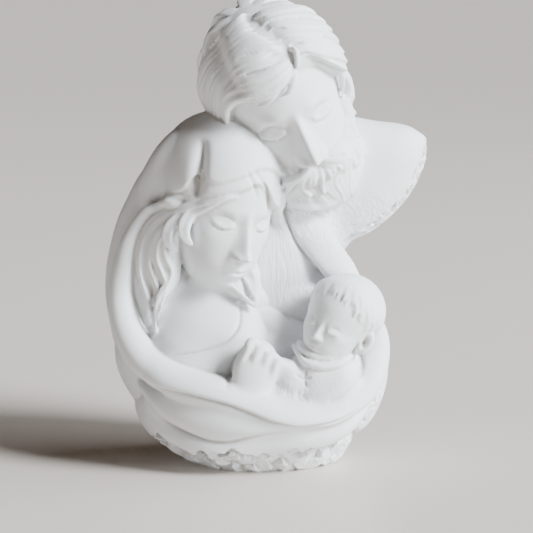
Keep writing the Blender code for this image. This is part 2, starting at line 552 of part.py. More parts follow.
def add_woman(clay):
    """The woman's head, turned towards the infant, with a veil and wavy hair falling inside the mantle."""
    head = Head(WOMAN_HEAD, (-26.0, -14.0, 141.0), (12, 30, 8), ADULT_SKULL, WOMAN_FACE)
    head.add_face(clay, 200, 150)
    broad = LOCK_WIDTH / WOMAN_HEAD / 2
    veil = [(-180, -40), (-150, -30), (-100, -14), (-76, -2), (-60, 4), (-45, 17), (-30, 22), (-13, 28), (5, 34),
            (16, 26), (26, 18), (60, 6), (100, -10), (180, -40)]
    head.add_cap(clay, veil, 0.038, bare=-0.04, edge=2.5)
    upper = [(-180, -30), (-110, -4), (-70, 14), (-54, 32), (-38, 29), (-20, 35), (-4, 41), (10, 44), (30, 40),
             (60, 20), (110, 0), (180, -30)]
    head.add_cap(clay, upper, 0.062, bare=-0.04, edge=2.5)
    # The veil's rolled edge falls beside the face
    clay.strand([(-18, -22, 172, 7, 6), (-8, -24, 168.5, 8, 6), (-1, -26, 162, 7.5, 6), (3.2, -26, 153, 6, 6),
                 (4.6, -24, 144, 5, 5.5), (6, -19, 134, 4.5, 5), (8, -14, 124, 3, 4)], (-26, 10, 140))
    clay.strand([(-12, -28, 169, 3, 3), (-6.5, -33, 162, 3.4, 3.4), (-2.2, -35, 154, 3.2, 3.4),
                 (-0.2, -34, 145, 2.8, 3), (0.5, -31, 137, 2.2, 2.6)], (-26, 0, 140))
    # Two hooked locks at the temple, then the waves that cross from the forehead and fall to the breast
    hooks = (
        ((-31.5, -43.5, 144), (-36.5, -42.5, 140.5), (-40.8, -42.5, 136), (-42.6, -43, 131), (-41.5, -42.5, 126),
         (-38.0, -40.5, 121.5)),
        ((-39, -41, 140.5), (-44.5, -40.5, 136.5), (-49, -39.5, 132.5), (-51, -39, 127), (-49.8, -38, 121.8),
         (-45.8, -36, 118)),
    )
    unit = LOCK_WIDTH / PART
    for rows in hooks:
        sized = [(*row, half * unit, 0.75 * half * unit) for row, half in zip(rows, (0.35, 0.42, 0.48, 0.48, 0.40, 0.26))]
        clay.strand(sized, (-34, 0, 128), lobes=3, groove=0.25, blunt=0.3)
    falls = (
        ((-11.8, -47, 151), (-20.5, -49.5, 149), (-29.3, -47, 146), (-36, -43.5, 143.5), (-43, -40.5, 141),
         (-50, -36, 138.5), (-57, -32, 135), (-62.5, -29, 128), (-66, -28, 118), (-66.5, -28, 107), (-63.5, -29, 96),
         (-60, -31, 85), (-58.5, -32, 74), (-57.5, -31, 65)),
        ((-14, -48, 148.5), (-22, -49, 147), (-29.5, -46.5, 143.5), (-36, -43, 140.8), (-43, -41, 138),
         (-50, -37.5, 135), (-56.5, -33.5, 130), (-60.8, -31, 122), (-61.5, -30.5, 112), (-59, -31, 103),
         (-56, -32, 95), (-58.5, -33, 84), (-57.5, -33, 74)),
        ((-24, -48, 145.5), (-31, -45.5, 142), (-38, -42.5, 138.8), (-45.5, -40.5, 135), (-51.5, -37.5, 130),
         (-56.5, -34, 123), (-57.5, -33, 114.5), (-54.5, -33, 106), (-52.5, -33.5, 98.5), (-55, -34, 90),
         (-57, -34, 80)),
        ((-44, -39.5, 134.5), (-50, -36.5, 129), (-53.8, -34.5, 122), (-53, -33.5, 114.5), (-50, -33, 107.5),
         (-52.5, -33.5, 100), (-57, -34, 92.5), (-59, -33, 84)),
    )
    for rows in falls:
        slim = 0.55 / len(rows)
        sized = [(*row, 0.5 * unit * (1 - slim * j), 0.42 * unit * (1 - slim * j)) for j, row in enumerate(rows)]
        clay.strand(sized, (-40, 10, 120), lobes=3, groove=0.4, blunt=0.4, rings=90, twist=0.3)
    # The hair's mass beside the neck and behind the chin, and the lock that ends in a point below it
    for rows in (
        [(-48, -12, 150, 9, 10), (-60, -15, 128, 10, 11), (-63, -16, 104, 10, 11), (-60, -19, 84, 9, 10),
         (-58, -23, 66, 6, 7)],
        [(-44, -30, 140, 6, 6), (-49, -30, 130, 7, 6), (-52, -27, 118, 7, 7), (-52, -26, 104, 7, 7),
         (-55, -26, 88, 6, 6)],
        [(-16, -13, 118, 8, 7), (-12, -19, 107, 8, 6), (-9, -25, 98, 6, 5.5), (-6.5, -29, 91, 3, 3.5)],
        [(-25, -18, 106, 6, 6), (-16, -25, 98, 6, 6), (-9, -28, 91.5, 4, 4)],
    ):
        clay.strand(rows, (-35, 30, 110))
    chin_locks = (
        ((-12, -16, 122), (-8.5, -22, 112), (-5.5, -28, 103), (-4.2, -31, 95), (-5, -34, 87)),
        ((-17, -18, 116), (-12, -25, 106), (-8.5, -30, 99), (-6, -32.5, 93), (-5, -34, 87.2)),
        ((-26, -24, 104), (-20, -30, 99), (-14, -32.5, 94.5), (-9, -33.5, 91), (-5.2, -34, 87.3)),
    )
    for rows in chin_locks:
        sized = [(*row, 0.48 * unit * (1 - 0.16 * j), 0.42 * unit * (1 - 0.16 * j)) for j, row in enumerate(rows)]
        clay.strand(sized, (-20, 10, 100), lobes=3, groove=0.35, blunt=0.4)
    # Neck, breast and the shoulder that runs down to the infant
    clay.strand([(-31, -8, 120, 14, 14), (-31, -11, 104, 13.5, 14), (-30, -13, 90, 19, 16), (-28, -13, 74, 32, 22),
                 (-28, -12, 60, 34, 24)], (-30, 60, 90), blunt=0.2)
    clay.strand([(-38, -6, 116, 9, 11), (-46, -8, 101, 12, 13), (-56, -9, 84, 14, 15)], (-30, 60, 90), blunt=0.2)
    clay.strand([(-22, -8, 112, 8, 11), (-14, -11, 97, 11, 13), (-2, -14, 82, 12, 14)], (-30, 60, 90), blunt=0.2)
    clay.cushion((-27, -6, 63), [(0, 38), (45, 36), (90, 34), (135, 38), (180, 44), (225, 40), (270, 34), (315, 38)],
                 37, 30, plump=0.72)
    clay.strand([(-22, -14, 86, 10, 10), (-4, -19, 79, 10, 10), (12, -24, 67, 9, 9), (26, -26, 52, 9, 9)], (0, 20, 60))


def add_mantle(clay):
    """The mantle: a shell behind and to the left of the group, its hem and three folds that cradle it."""
    # The left of the outline is half an ellipse, 86 wide and 105 high about z 88
    back = [(0, 56), (14, 46), (27, 41), (40, 49), (54, 62), (70, 78), (90, 95), (107, 101), (116, 102.5),
            (124, 100), (135, 93.5), (148, 88), (163, 85.3), (180, 84.5), (200, 85), (210, 85.5), (221, 86.5), (232, 84), (250, 74), (270, 66),
            (300, 60), (330, 60)]
    clay.cushion((-2, 10, 88), back, 30, 40, plump=0.75)
    bowl = [(0, 74), (16, 64), (40, 40), (90, 34), (140, 52), (162, 72), (180, 74), (200, 68), (225, 60), (270, 46),
            (300, 52), (315, 62), (326, 72), (341, 74.5)]
    clay.cushion((-8, 2, 56), bowl, 38, 46, plump=0.7)
    half = HEM_WIDTH / PART / 2
    hem = [(-37, -40, 147.5, 0.45, 4), (-46, -36, 146, 0.5, 5), (-54, -31, 143, 0.5, 5.5), (-61, -26, 137.5, 0.6, 6),
           (-67, -23, 129.5, 0.65, 6),
           (-71.5, -22, 120.5, 0.75, 6.5), (-74.5, -21, 110, 0.9, 7),
           (-77, -21, 94, 0.95, 7.5), (-74, -25, 77, 1.0, 8.5), (-64, -33, 61, 1.05, 9.5), (-47, -42, 51, 1.05, 10),
           (-28, -48, 46, 1.0, 10), (-8, -51, 41, 0.85, 10), (12, -52, 36, 0.75, 10), (32, -47, 35.5, 0.75, 10),
           (48, -36, 44, 1.1, 11), (56, -26, 57, 1.2, 11), (58, -17, 71, 0.95, 10), (54, -8, 82, 0.5, 8)]
    clay.strand([(x, y, z, half * w, t) for x, y, z, w, t in hem], (0, 30, 90), blunt=0.2, rings=90)
    clay.strand([(-68, -18, 49, 4, 6), (-60, -28, 41, 8, 8), (-44, -39, 35, 10, 9), (-27, -46, 32, 11, 9),
                 (-8, -49, 30, 10, 9), (10, -50, 30, 8, 8), (28, -46, 31, 7, 7), (44, -38, 36, 5, 6)],
                (-5, 10, 60), rings=70)
    clay.strand([(-66, -4, 46, 8, 10), (-58, -18, 31, 9.5, 10), (-45, -32, 22, 10, 10), (-26, -41, 18, 11, 10),
                 (0, -44, 21, 11, 9), (22, -43, 23, 11, 9), (38, -36, 27, 10.5, 9), (49, -22, 34, 10, 8.5),
                 (56, -8, 46, 10, 8)], (-5, 30, 60), rings=80)
    # The side wall between the hem and the outline, and the fullness under the cradling folds
    clay.strand([(-26, -6, 166, 14, 17), (-40, -6, 162, 13, 18), (-52, -6, 151, 12, 18), (-60, -5, 137, 11, 17),
                 (-67, -4, 120, 10, 16), (-71, -4, 98, 10, 16), (-69, -8, 76, 10, 16), (-62, -14, 56, 10, 16),
                 (-53, -18, 40, 12, 14)], (0, 20, 90), blunt=0.25, rings=80)
    clay.strand([(-34, -12, 177, 9, 12), (-45, -15, 169, 11, 13), (-52, -15, 158, 11.5, 13), (-56, -14, 146, 11, 12),
                 (-60, -13, 134, 10, 11)], (-30, 20, 130), blunt=0.2)
    clay.ball((-38, -10, 162), (17, 20, 20))
    clay.ball((-6, -16, 36), (61, 38, 25))
    # Broad folds down the back
    for k in range(7):
        t = (k - 3) / 3
        rows = [(-30 + 22 * t, 34 - 10 * abs(t), 168 - 26 * abs(t)), (-16 + 40 * t, 46 - 14 * abs(t), 118),
                (-8 + 50 * t, 45 - 14 * abs(t), 66), (-4 + 44 * t, 35 - 12 * abs(t), 26)]
        size = ((4, 3.5), (6, 7), (7, 8), (6, 7))
        clay.strand([(*row, *extra) for row, extra in zip(rows, size)], (-8, -20, 90))


def add_child(clay):
    """The infant: a round head with an ear, a collar ring, a wrapped body and a small sleeve."""
    head = Head(CHILD_HEAD, (39.5, -35.0, 82.5), (8, -30, 24), CHILD_SKULL, CHILD_FACE)
    head.add_face(clay, 180, 130)
    head.add_ear(clay, 1, 0.13, lon=88.0)
    cover = [(-180, -30), (-100, -10), (-60, 22), (-30, 34), (0, 42), (30, 36), (60, 14), (82, 4), (100, 0),
             (120, -20), (180, -30)]
    head.add_cap(clay, cover, 0.020, bare=-0.02, edge=6.0)
    clay.ball((48, -18, 84), (12, 14, 14))
    clay.strand([(36, -32, 70, 10, 10), (33, -33, 58, 13, 12)], (34, 10, 64))
    rings = (
        ((14, -34, 69), (16.4, -42, 66), (18.4, -47, 63), (22.5, -50, 61.4), (28, -51, 60.3), (34.5, -50, 60.9),
         (40.5, -47, 62.6), (45, -41, 65), (47, -34, 67)),
        ((17, -36, 71), (19, -43, 68.5), (23, -47.5, 66), (28.5, -48.5, 65), (34.5, -47.5, 65.4), (40, -44, 67)),
    )
    for rows in rings:
        clay.strand([(*row, 1.9, 2.4) for row in rows], (31, -24, 66), blunt=0.2)
    body = [(0, 19.5), (40, 21), (65, 17), (90, 15), (115, 17), (140, 21), (180, 19), (215, 19), (250, 20), (300, 17)]
    clay.cushion((31, -31, 50), body, 21, 16, plump=0.6)
    clay.strand([(4, -42, 62, 5, 6), (10, -45, 57, 7, 6.5), (14, -46, 51, 8, 6.5), (18, -46, 44, 8, 6)], (15, 0, 50),
                blunt=0.3)


def add_hand(clay):
    """The woman's hand round the infant, seen from its back, with four bent fingers."""
    unit = HAND_LENGTH / PART / 30
    wrist = np.array([-12.0, -47.0, 42.0])

    def at(x, y, z):
        return tuple(wrist + unit * np.array([x, y, z]))

    clay.ball(at(6, -2, 16), (12 * unit, 6.5 * unit, 16 * unit), turned(-8, 0, 14))
    clay.strand([(*at(-3, 5, -8), 9, 8), (*at(1, 0, 4), 10, 8)], (-5, 0, 50))
    for k in range(4):
        knuckle = (3.0 + 4.6 * k, -5.6 + 0.5 * k, 30.5 - 3.6 * k)
        rows = [(knuckle[0] - 5, knuckle[1] + 1.5, knuckle[2] - 12), (knuckle[0] - 1, knuckle[1] - 0.4, knuckle[2] - 3),
                (knuckle[0] + 1.5, knuckle[1] + 0.8, knuckle[2] + 0.5), (knuckle[0] + 5, knuckle[1] + 3, knuckle[2] - 2),
                (knuckle[0] + 8, knuckle[1] + 7, knuckle[2] - 6)]
        clay.strand([(*at(*row), 2.7 * unit, 3.2 * unit) for row in rows], (-5, 0, 50), blunt=0.3)


def add_foot(clay):
    """The rough foot: a bowl that is cut flat at the ground and leans out to the left as it rises."""
    high = 24.0
    lean = 0.42
    spread = 1.0 / math.sqrt(1.0 - (high / 34.0) ** 2)
    ball, points, _, _ = sphere(48, 32)
    points = points * (FOOT_WIDTH / PART / 2 * spread, FOOT_DEPTH / PART / 2 * spread, 34.0) + (-2.0, 0, high)
    points[:, 0] -= lean * points[:, 2]
    clay.add(ball, points)


def carve(mesh):
    """Works the creases, the collars, the grooves of hair, the broken shoulder and the rough foot."""
    skin = Surface(mesh)
    rng = random.Random(SEED)
    soft = (0.0012 / VOXEL) ** 2
    skin.relax((0, -40, 34), (85, 40, 24), round(14 * soft))
    skin.relax((-32, -22, 82), (27, 30, 23), round(30 * soft))
    skin.relax((24, -10, 126), (26, 24, 30), round(10 * soft))
    skin.relax((-58, -2, 155), (26, 26, 34), round(14 * soft))
    skin.relax((-56, -22, 158), (13, 20, 24), round(40 * soft))
    skin.relax((70, 4, 160), (34, 34, 34), round(8 * soft))
    skin.normals = skin.fresh_normals()
    crease = [(-66, -28, 52), (-55, -44, 48.3), (-40, -50, 45.8), (-21, -55, 41.5), (-8, -58, 37), (3, -58, 32.8),
              (18, -57, 29.7), (36, -50, 31.7), (46, -42, 36)]
    skin.stroke(crease, 1.5, -3.2)
    skin.stroke(crease, 9.0, 1.6, step=True)
    lower = [(-68, -24, 43.7), (-54, -36, 29.8), (-35, -46, 21.8), (-21, -50, 20.5), (-6, -52, 24.3), (10, -53, 27)]
    skin.stroke(lower, 1.5, -2.4)
    skin.stroke(lower, 8.0, 1.2, step=True)
    collar = [(-15, -34, 94), (-13.8, -38, 87), (-14.8, -44, 78.5), (-22, -47, 71), (-34.5, -46, 66.5), (-50, -41, 64)]
    skin.stroke(collar, 0.9, -1.3)
    neckline = [(7, -12, 153), (11.4, -16, 143.5), (16.6, -17, 141), (22.4, -17, 140), (29.3, -16, 140.3), (37, -13, 142.5)]
    skin.stroke(neckline, 1.8, 2.2)
    robe_edge = [(6.6, -10, 149), (8.8, -12, 140), (11.9, -14, 130.7), (16.7, -16, 119.8), (24.1, -18, 110),
                 (32.6, -18, 101)]
    skin.stroke(robe_edge, 7.0, 1.8, step=True)
    skin.stroke(robe_edge, 1.3, -1.4)
    skin.stroke([(-32.5, -24, 177), (-33.6, -30, 167), (-35.2, -36, 157), (-36.8, -38, 147)], 1.9, -5.0, depth=26)
    hair_groove = [(-27, -20, 231), (-24.5, -38, 218), (-20.5, -45, 209), (-15.5, -49, 202), (-13, -50, 197)]
    skin.stroke(hair_groove, 2.0, -3.2, depth=24)
    skin.stroke([(-21, -48, 47), (-18.5, -50, 58), (-15, -49, 66), (-10, -48, 72)], 1.2, -1.6)
    # The hewn foot below the ragged edge of the cloth, all round
    places = []
    for k in range(90):
        angle = 2 * math.pi * (k + rng.uniform(-0.4, 0.4)) / 45
        z = rng.uniform(3, 15) + 5 * max(0.0, math.sin(angle))
        wide = math.sqrt(max(0.05, 1.0 - ((34 - z) / 44) ** 2))
        places.append((3 + 58 * wide * math.cos(angle), 52 * wide * math.sin(angle), z))
    skin.chips(places, 10.0, 3.4, 0.6, rng)
    broken = [(86, 10, 160), (83, 4, 152), (80, 16, 147), (76, 4, 140), (71, 14, 134), (66, 2, 129), (60, 12, 124),
              (54, 0, 120), (48, 8, 116), (43, -2, 111), (84, 18, 166), (40, 4, 106)]
    skin.chips(broken, 8.0, 2.2, 0.5, rng)
    rim = [(63, -14, 47), (62, -4, 36), (57, -16, 27), (54, -4, 20), (64, 2, 56)]
    skin.chips(rim, 6.0, 1.6, 0.5, rng)
    skin.done()


def thinned(obj, triangles):
    """The object with a Decimate down to about the given number of triangles."""
    obj.data.calc_loop_triangles()
    thin = obj.modifiers.new("Thin", "DECIMATE")
    thin.ratio = triangles / len(obj.data.loop_triangles)
    thin.use_collapse_triangulate = True
    return applied(obj)


def cut_flat(obj):
    """The object cut off at the ground and closed with a flat underside."""
    bm = bmesh.new()
    bm.from_mesh(obj.data)
    whole = bm.verts[:] + bm.edges[:] + bm.faces[:]
    made = bmesh.ops.bisect_plane(bm, geom=whole, plane_co=(0, 0, 0), plane_no=(0, 0, 1), clear_inner=True)
    rim = [e for e in made["geom_cut"] if isinstance(e, bmesh.types.BMEdge)]
    bmesh.ops.edgenet_fill(bm, edges=rim)
    bmesh.ops.dissolve_degenerate(bm, dist=1e-5, edges=bm.edges)
    bmesh.ops.triangulate(bm, faces=bm.faces)
    bmesh.ops.recalc_face_normals(bm, faces=bm.faces)
    bm.to_mesh(obj.data)
    bm.free()
    return obj


def cast_material():
    """Matt white casting."""
    material = bpy.data.materials.new("cast_white")
    material.use_nodes = True
    shader = material.node_tree.nodes["Principled BSDF"]
    shader.inputs["Base Color"].default_value = CAST_WHITE
    shader.inputs["Roughness"].default_value = CAST_ROUGHNESS
    return material


def build():
    """The whole group as one object."""
    for obj in list(bpy.data.objects):
        bpy.data.objects.remove(obj, do_unlink=True)
    clay = Clay()
    add_mantle(clay)
    add_foot(clay)
    add_man_body(clay)
    add_man(clay)
    add_woman(clay)
    add_child(clay)
    add_hand(clay)
    statue = fused(clay, "holy_family_statue", VOXEL, 2)
    carve(statue.data)
    thinned(statue, TRIANGLES)
    cut_flat(statue)
    statue.data.materials.append(cast_material())
    return statue


build()
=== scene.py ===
"""The finished look of the white cast group: fine carving, cast skin, studio floor, light and camera.

The group is one casting, so one mesh replaces the solid. It is roughed out from spheres that are moved
into heads, locks of hair, folds and fingers, fused into one skin, carved with strokes along its surface
and given its grain. Lengths inside the model are in parts, 250 to its height. +X is to the viewer's
right, -Y is the front and +Z is up.
"""

from __future__ import annotations

import logging
import math
from dataclasses import dataclass, field
from enum import Enum
from typing import Sequence

import bmesh
import bpy
import numpy as np
from mathutils import Matrix, Vector

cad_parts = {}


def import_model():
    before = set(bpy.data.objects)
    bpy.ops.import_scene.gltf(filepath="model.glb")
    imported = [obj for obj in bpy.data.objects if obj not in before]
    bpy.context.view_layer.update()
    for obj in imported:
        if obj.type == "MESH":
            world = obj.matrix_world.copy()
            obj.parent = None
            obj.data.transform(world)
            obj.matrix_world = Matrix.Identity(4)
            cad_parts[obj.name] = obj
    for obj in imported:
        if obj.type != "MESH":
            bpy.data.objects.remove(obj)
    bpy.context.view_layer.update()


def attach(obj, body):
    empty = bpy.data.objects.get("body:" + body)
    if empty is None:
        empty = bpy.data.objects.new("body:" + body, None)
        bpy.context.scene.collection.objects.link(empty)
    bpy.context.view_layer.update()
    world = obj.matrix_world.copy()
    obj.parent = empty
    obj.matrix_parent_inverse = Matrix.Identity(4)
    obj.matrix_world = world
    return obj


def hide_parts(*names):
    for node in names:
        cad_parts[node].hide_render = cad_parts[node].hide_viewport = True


LOG = logging.getLogger("cast_group")

STATUE_HEIGHT = 0.250
PART = STATUE_HEIGHT / 250
BATCH = 8000  # points compared with a line or with the blows at a time

Row = tuple[float, ...]
Rows = Sequence[Row]


def smooth(low: float, high: float, value: np.ndarray | float) -> np.ndarray:
    """0 below low, 1 above high and a smooth step between them."""
    t = np.clip((value - low) / (high - low), 0.0, 1.0)
    return t * t * (3.0 - 2.0 * t)


def curve_through(points: Rows | np.ndarray, count: int) -> np.ndarray:
    """Points evenly along a smooth curve.

    Args:
        points: Rows that the curve passes through, which may carry widths too.
        count: How many rows to return.

    Returns:
        An array of count rows.
    """
    rows = np.array(points, float)
    padded = np.vstack([2 * rows[0] - rows[1], rows, 2 * rows[-1] - rows[-2]])
    spans = len(rows) - 1
    where = np.linspace(0.0, spans, max(count * 4, 64))
    span = np.minimum(where.astype(int), spans - 1)
    t = (where - span)[:, None]
    a, b, c, d = (padded[span + k] for k in range(4))
    dense = 0.5 * (2 * b + (c - a) * t + (2 * a - 5 * b + 4 * c - d) * t**2 + (3 * b - a - 3 * c + d) * t**3)
    steps = np.linalg.norm(np.diff(dense[:, :3], axis=0), axis=1)
    along = np.concatenate([[0.0], np.cumsum(steps)])
    even = np.linspace(0.0, along[-1], count)
    return np.stack([np.interp(even, along, dense[:, k]) for k in range(dense.shape[1])], axis=1)


def turned(pitch: float, yaw: float, roll: float) -> np.ndarray:
    """The rotation of a head that nods down by pitch, then turns by yaw and leans by roll, in degrees."""
    nod = Matrix.Rotation(math.radians(pitch), 3, "X")
    swing = Matrix.Rotation(math.radians(yaw), 3, "Z")
    lean = Matrix.Rotation(math.radians(roll), 3, "Y")
    return np.array(lean @ swing @ nod)


def push(points: np.ndarray, centre: Row, radii: Row, move: Row) -> np.ndarray:
    """Moves the points near centre by move, fading like a bell over radii."""
    near = np.exp(-(((points - np.array(centre)) / radii) ** 2).sum(1))
    return points + near[:, None] * np.array(move, float)


def push_pair(points: np.ndarray, centre: Row, radii: Row, move: Row) -> np.ndarray:
    """The same on both sides of the middle, mirrored."""
    for side in (-1.0, 1.0):
        flip = np.array([side, 1.0, 1.0])
        points = push(points, np.array(centre) * flip, radii, np.array(move) * flip)
    return points


def direction(lon: np.ndarray, lat: np.ndarray) -> np.ndarray:
    """Unit directions from a turn away from the nose and a height, in degrees."""
    lon, lat = np.radians(lon), np.radians(lat)
    return np.stack([np.sin(lon) * np.cos(lat), -np.cos(lon) * np.cos(lat), np.sin(lat)], axis=-1)


def tufts(lon: np.ndarray, lat: np.ndarray, broad: float) -> np.ndarray:
    """The height of a beard's overlapping tufts.

    Args:
        lon: Turns away from the nose, in degrees.
        lat: Heights, in degrees.
        broad: How broad a tuft is, in degrees.

    Returns:
        Heights from 0 to 1, each tuft thickest near its lower tip.
    """
    across = lon * (1.0 + 0.35 * smooth(-35.0, -80.0, lat))
    wave = 2.4 * np.sin(math.tau * (lat / 24.0 + lon / 80.0))
    ripple = 0.8 * np.sin(math.tau * (lat / 12.0 - lon / 47.0))
    across = across + wave + ripple
    total = np.zeros_like(across)
    for layer, (shift, turn) in enumerate(((0.0, 0.0), (0.5, 0.37))):
        column = across / broad + shift
        chance = np.sin(12.9898 * (np.floor(column) + 5.0 * layer)) * 43.758
        row = (-lat - 16.0) / 24.0 + chance - np.floor(chance) + turn
        down = row - np.floor(row)
        off = 2.0 * np.abs(column - np.floor(column) - 0.5) / (1.0 - 0.6 * down**2)
        body = np.sqrt(np.clip(1.0 - off**2, 0.0, 1.0)) * (0.45 + 0.55 * down) * smooth(1.0, 0.90, down)
        total = np.maximum(total, body)
    strands = np.abs(np.cos(math.pi * across / (broad / 3.0)))
    return total * (0.55 + 0.45 * strands)


class Cut(Enum):
    """The two strokes of the carving tool."""

    GROOVE = "groove"
    STEP = "step"


class Grain(Enum):
    """The named masks that the skin carries: three for its grain, and the hollow mask for the painted shade in its
    recesses.
    """

    COMBED = "combed"
    PITTED = "pitted"
    HEWN = "hewn"
    HOLLOW = "hollow"


@dataclass
class BallStock:
    """Unit spheres, each made once and copied for every form.

    Args:
        made: The spheres so far, by segments and rings.
    """

    made: dict[tuple[int, int], tuple[np.ndarray, np.ndarray]] = field(default_factory=dict)

    def take(self, segments: int, rings: int) -> tuple[np.ndarray, np.ndarray]:
        """A unit sphere.

        Args:
            segments: Faces round it.
            rings: Faces from top to bottom.

        Returns:
            The points of each of its faces, and where its points lie.
        """
        if (segments, rings) not in self.made:
            bm = bmesh.new()
            bmesh.ops.create_uvsphere(bm, u_segments=segments, v_segments=rings, radius=1.0)
            bmesh.ops.triangulate(bm, faces=bm.faces)
            bm.verts.index_update()
            points = np.array([v.co for v in bm.verts])
            faces = np.array([[v.index for v in face.verts] for face in bm.faces])
            bm.free()
            self.made[(segments, rings)] = (faces, points)
        return self.made[(segments, rings)]


@dataclass
class Clay:
    """Closed forms gathered in one mesh, in parts, until they are fused.

    Args:
        stock: Where the spheres come from.
        points: The points of each form.
        faces: Its faces, counted on from the forms before it.
        count: How many points there are so far.
    """

    stock: BallStock = field(default_factory=BallStock)
    points: list[np.ndarray] = field(default_factory=list)
    faces: list[np.ndarray] = field(default_factory=list)
    count: int = 0

    def add(self, ball: np.ndarray, points: np.ndarray) -> None:
        """Takes a ball with its points moved."""
        self.faces.append(ball + self.count)
        self.points.append(np.asarray(points, float))
        self.count += len(points)

    def ball(self, centre: Row, radii: Row, turn: np.ndarray | None = None) -> None:
        """An ellipsoid, turned by a 3 by 3 matrix."""
        ball, points = self.stock.take(48, 32)
        points = points * radii
        if turn is not None:
            points = points @ np.array(turn).T
        self.add(ball, points + np.array(centre))

    def cushion(self, centre: Row, outline: Rows, front: float, back: float, plump: float = 1.0) -> None:
        """A lens seen from the front.

        Args:
            centre: Its middle.
            outline: Rows of angle in degrees and radius.
            front: How far it stands forward.
            back: How far it reaches back.
            plump: Below 1 its face stays fuller towards the outline.
        """
        ball, points = self.stock.take(200, 130)
        angle = np.degrees(np.arctan2(points[:, 2], points[:, 0])) % 360.0
        rows = np.array(outline, float)
        wrapped = np.vstack([rows[-1] - (360.0, 0.0), rows, rows[0] + (360.0, 0.0)])
        fine = curve_through(np.hstack([wrapped, np.zeros((len(wrapped), 1))]), 240)
        radius = np.interp(angle, fine[:, 0], fine[:, 1])
        share = np.hypot(points[:, 0], points[:, 2])
        spread = share**plump / np.maximum(share, 1e-6)
        deep = np.where(points[:, 1] < 0, front, back)
        shaped = [points[:, 0] * radius * spread, points[:, 1] * deep, points[:, 2] * radius * spread]
        self.add(ball, np.stack(shaped, 1) + np.array(centre))

    def strand(
        self,
        rows: Rows,
        facing: Row,
        lobes: int = 0,
        groove: float = 0.0,
        blunt: float = 0.35,
        segments: int = 32,
        rings: int = 56,
        twist: float = 0.0,
    ) -> None:
        """A tapered form swept along a curve.

        Args:
            rows: Rows of x, y, z, half width and half thickness.
            facing: The point that its thin side turns away from.
            lobes: How many grooves run along it.
            groove: How deep they are, as a share of its thickness.
            blunt: Below 1 its ends are rounder.
            segments: Faces round it.
            rings: Faces along it.
            twist: How far its section turns along it, in turns.
        """
        ball, points = self.stock.take(segments, rings)
        turn = np.arctan2(points[:, 1], points[:, 0])
        down = np.arccos(np.clip(points[:, 2], -1.0, 1.0)) / math.pi
        line = curve_through(rows, 96)
        share = np.linspace(0.0, 1.0, 96)
        at = np.stack([np.interp(down, share, line[:, k]) for k in range(5)], axis=1)
        ahead = np.gradient(line[:, :3], axis=0)
        ahead /= np.linalg.norm(ahead, axis=1)[:, None]
        out = line[:, :3] - np.array(facing, float)
        out -= (out * ahead).sum(1)[:, None] * ahead
        out /= np.maximum(np.linalg.norm(out, axis=1)[:, None], 1e-6)
        side = np.cross(ahead, out)
        out = np.stack([np.interp(down, share, out[:, k]) for k in range(3)], axis=1)
        side = np.stack([np.interp(down, share, side[:, k]) for k in range(3)], axis=1)
        swell = np.sin(math.pi * np.clip(down, 0.0, 1.0)) ** blunt
        if lobes:
            phase = lobes * turn + math.tau * twist * down
            swell = swell * (1.0 - groove * (0.5 + 0.5 * np.cos(phase)))
        across = (np.cos(turn) * at[:, 3] * swell)[:, None] * side
        through = (np.sin(turn) * at[:, 4] * swell)[:, None] * out
        self.add(ball, at[:, :3] + across + through)

    def fused(self, name: str, voxel: float, passes: int) -> bpy.types.Object:
        """The clay in metres as one skin.

        Args:
            name: The object's name.
            voxel: The Remesh's size, in metres.
            passes: How often the joins are softened.

        Returns:
            The object, with its modifiers made part of its mesh.
        """
        mesh = bpy.data.meshes.new(name)
        corners = np.concatenate(self.faces).astype(np.int32)
        mesh.vertices.add(self.count)
        mesh.vertices.foreach_set("co", (np.concatenate(self.points) * PART).astype(np.float32).ravel())
        mesh.loops.add(corners.size)
        mesh.loops.foreach_set("vertex_index", corners.ravel())
        mesh.polygons.add(len(corners))
        mesh.polygons.foreach_set("loop_start", np.arange(0, corners.size, 3, dtype=np.int32))
        mesh.update(calc_edges=True)
        obj = bpy.data.objects.new(name, mesh)
        bpy.context.scene.collection.objects.link(obj)
        skin = obj.modifiers.new("Skin", "REMESH")
        skin.mode = "VOXEL"
        skin.voxel_size = voxel
        soften = obj.modifiers.new("Soften", "SMOOTH")
        soften.factor = 0.5
        soften.iterations = passes
        return applied(obj)


def applied(obj: bpy.types.Object) -> bpy.types.Object:
    """The object with its modifiers made part of its mesh."""
    graph = bpy.context.evaluated_depsgraph_get()
    mesh = bpy.data.meshes.new_from_object(obj.evaluated_get(graph))
    old = obj.data
    obj.modifiers.clear()
    obj.data = mesh
    bpy.data.meshes.remove(old)
    return obj


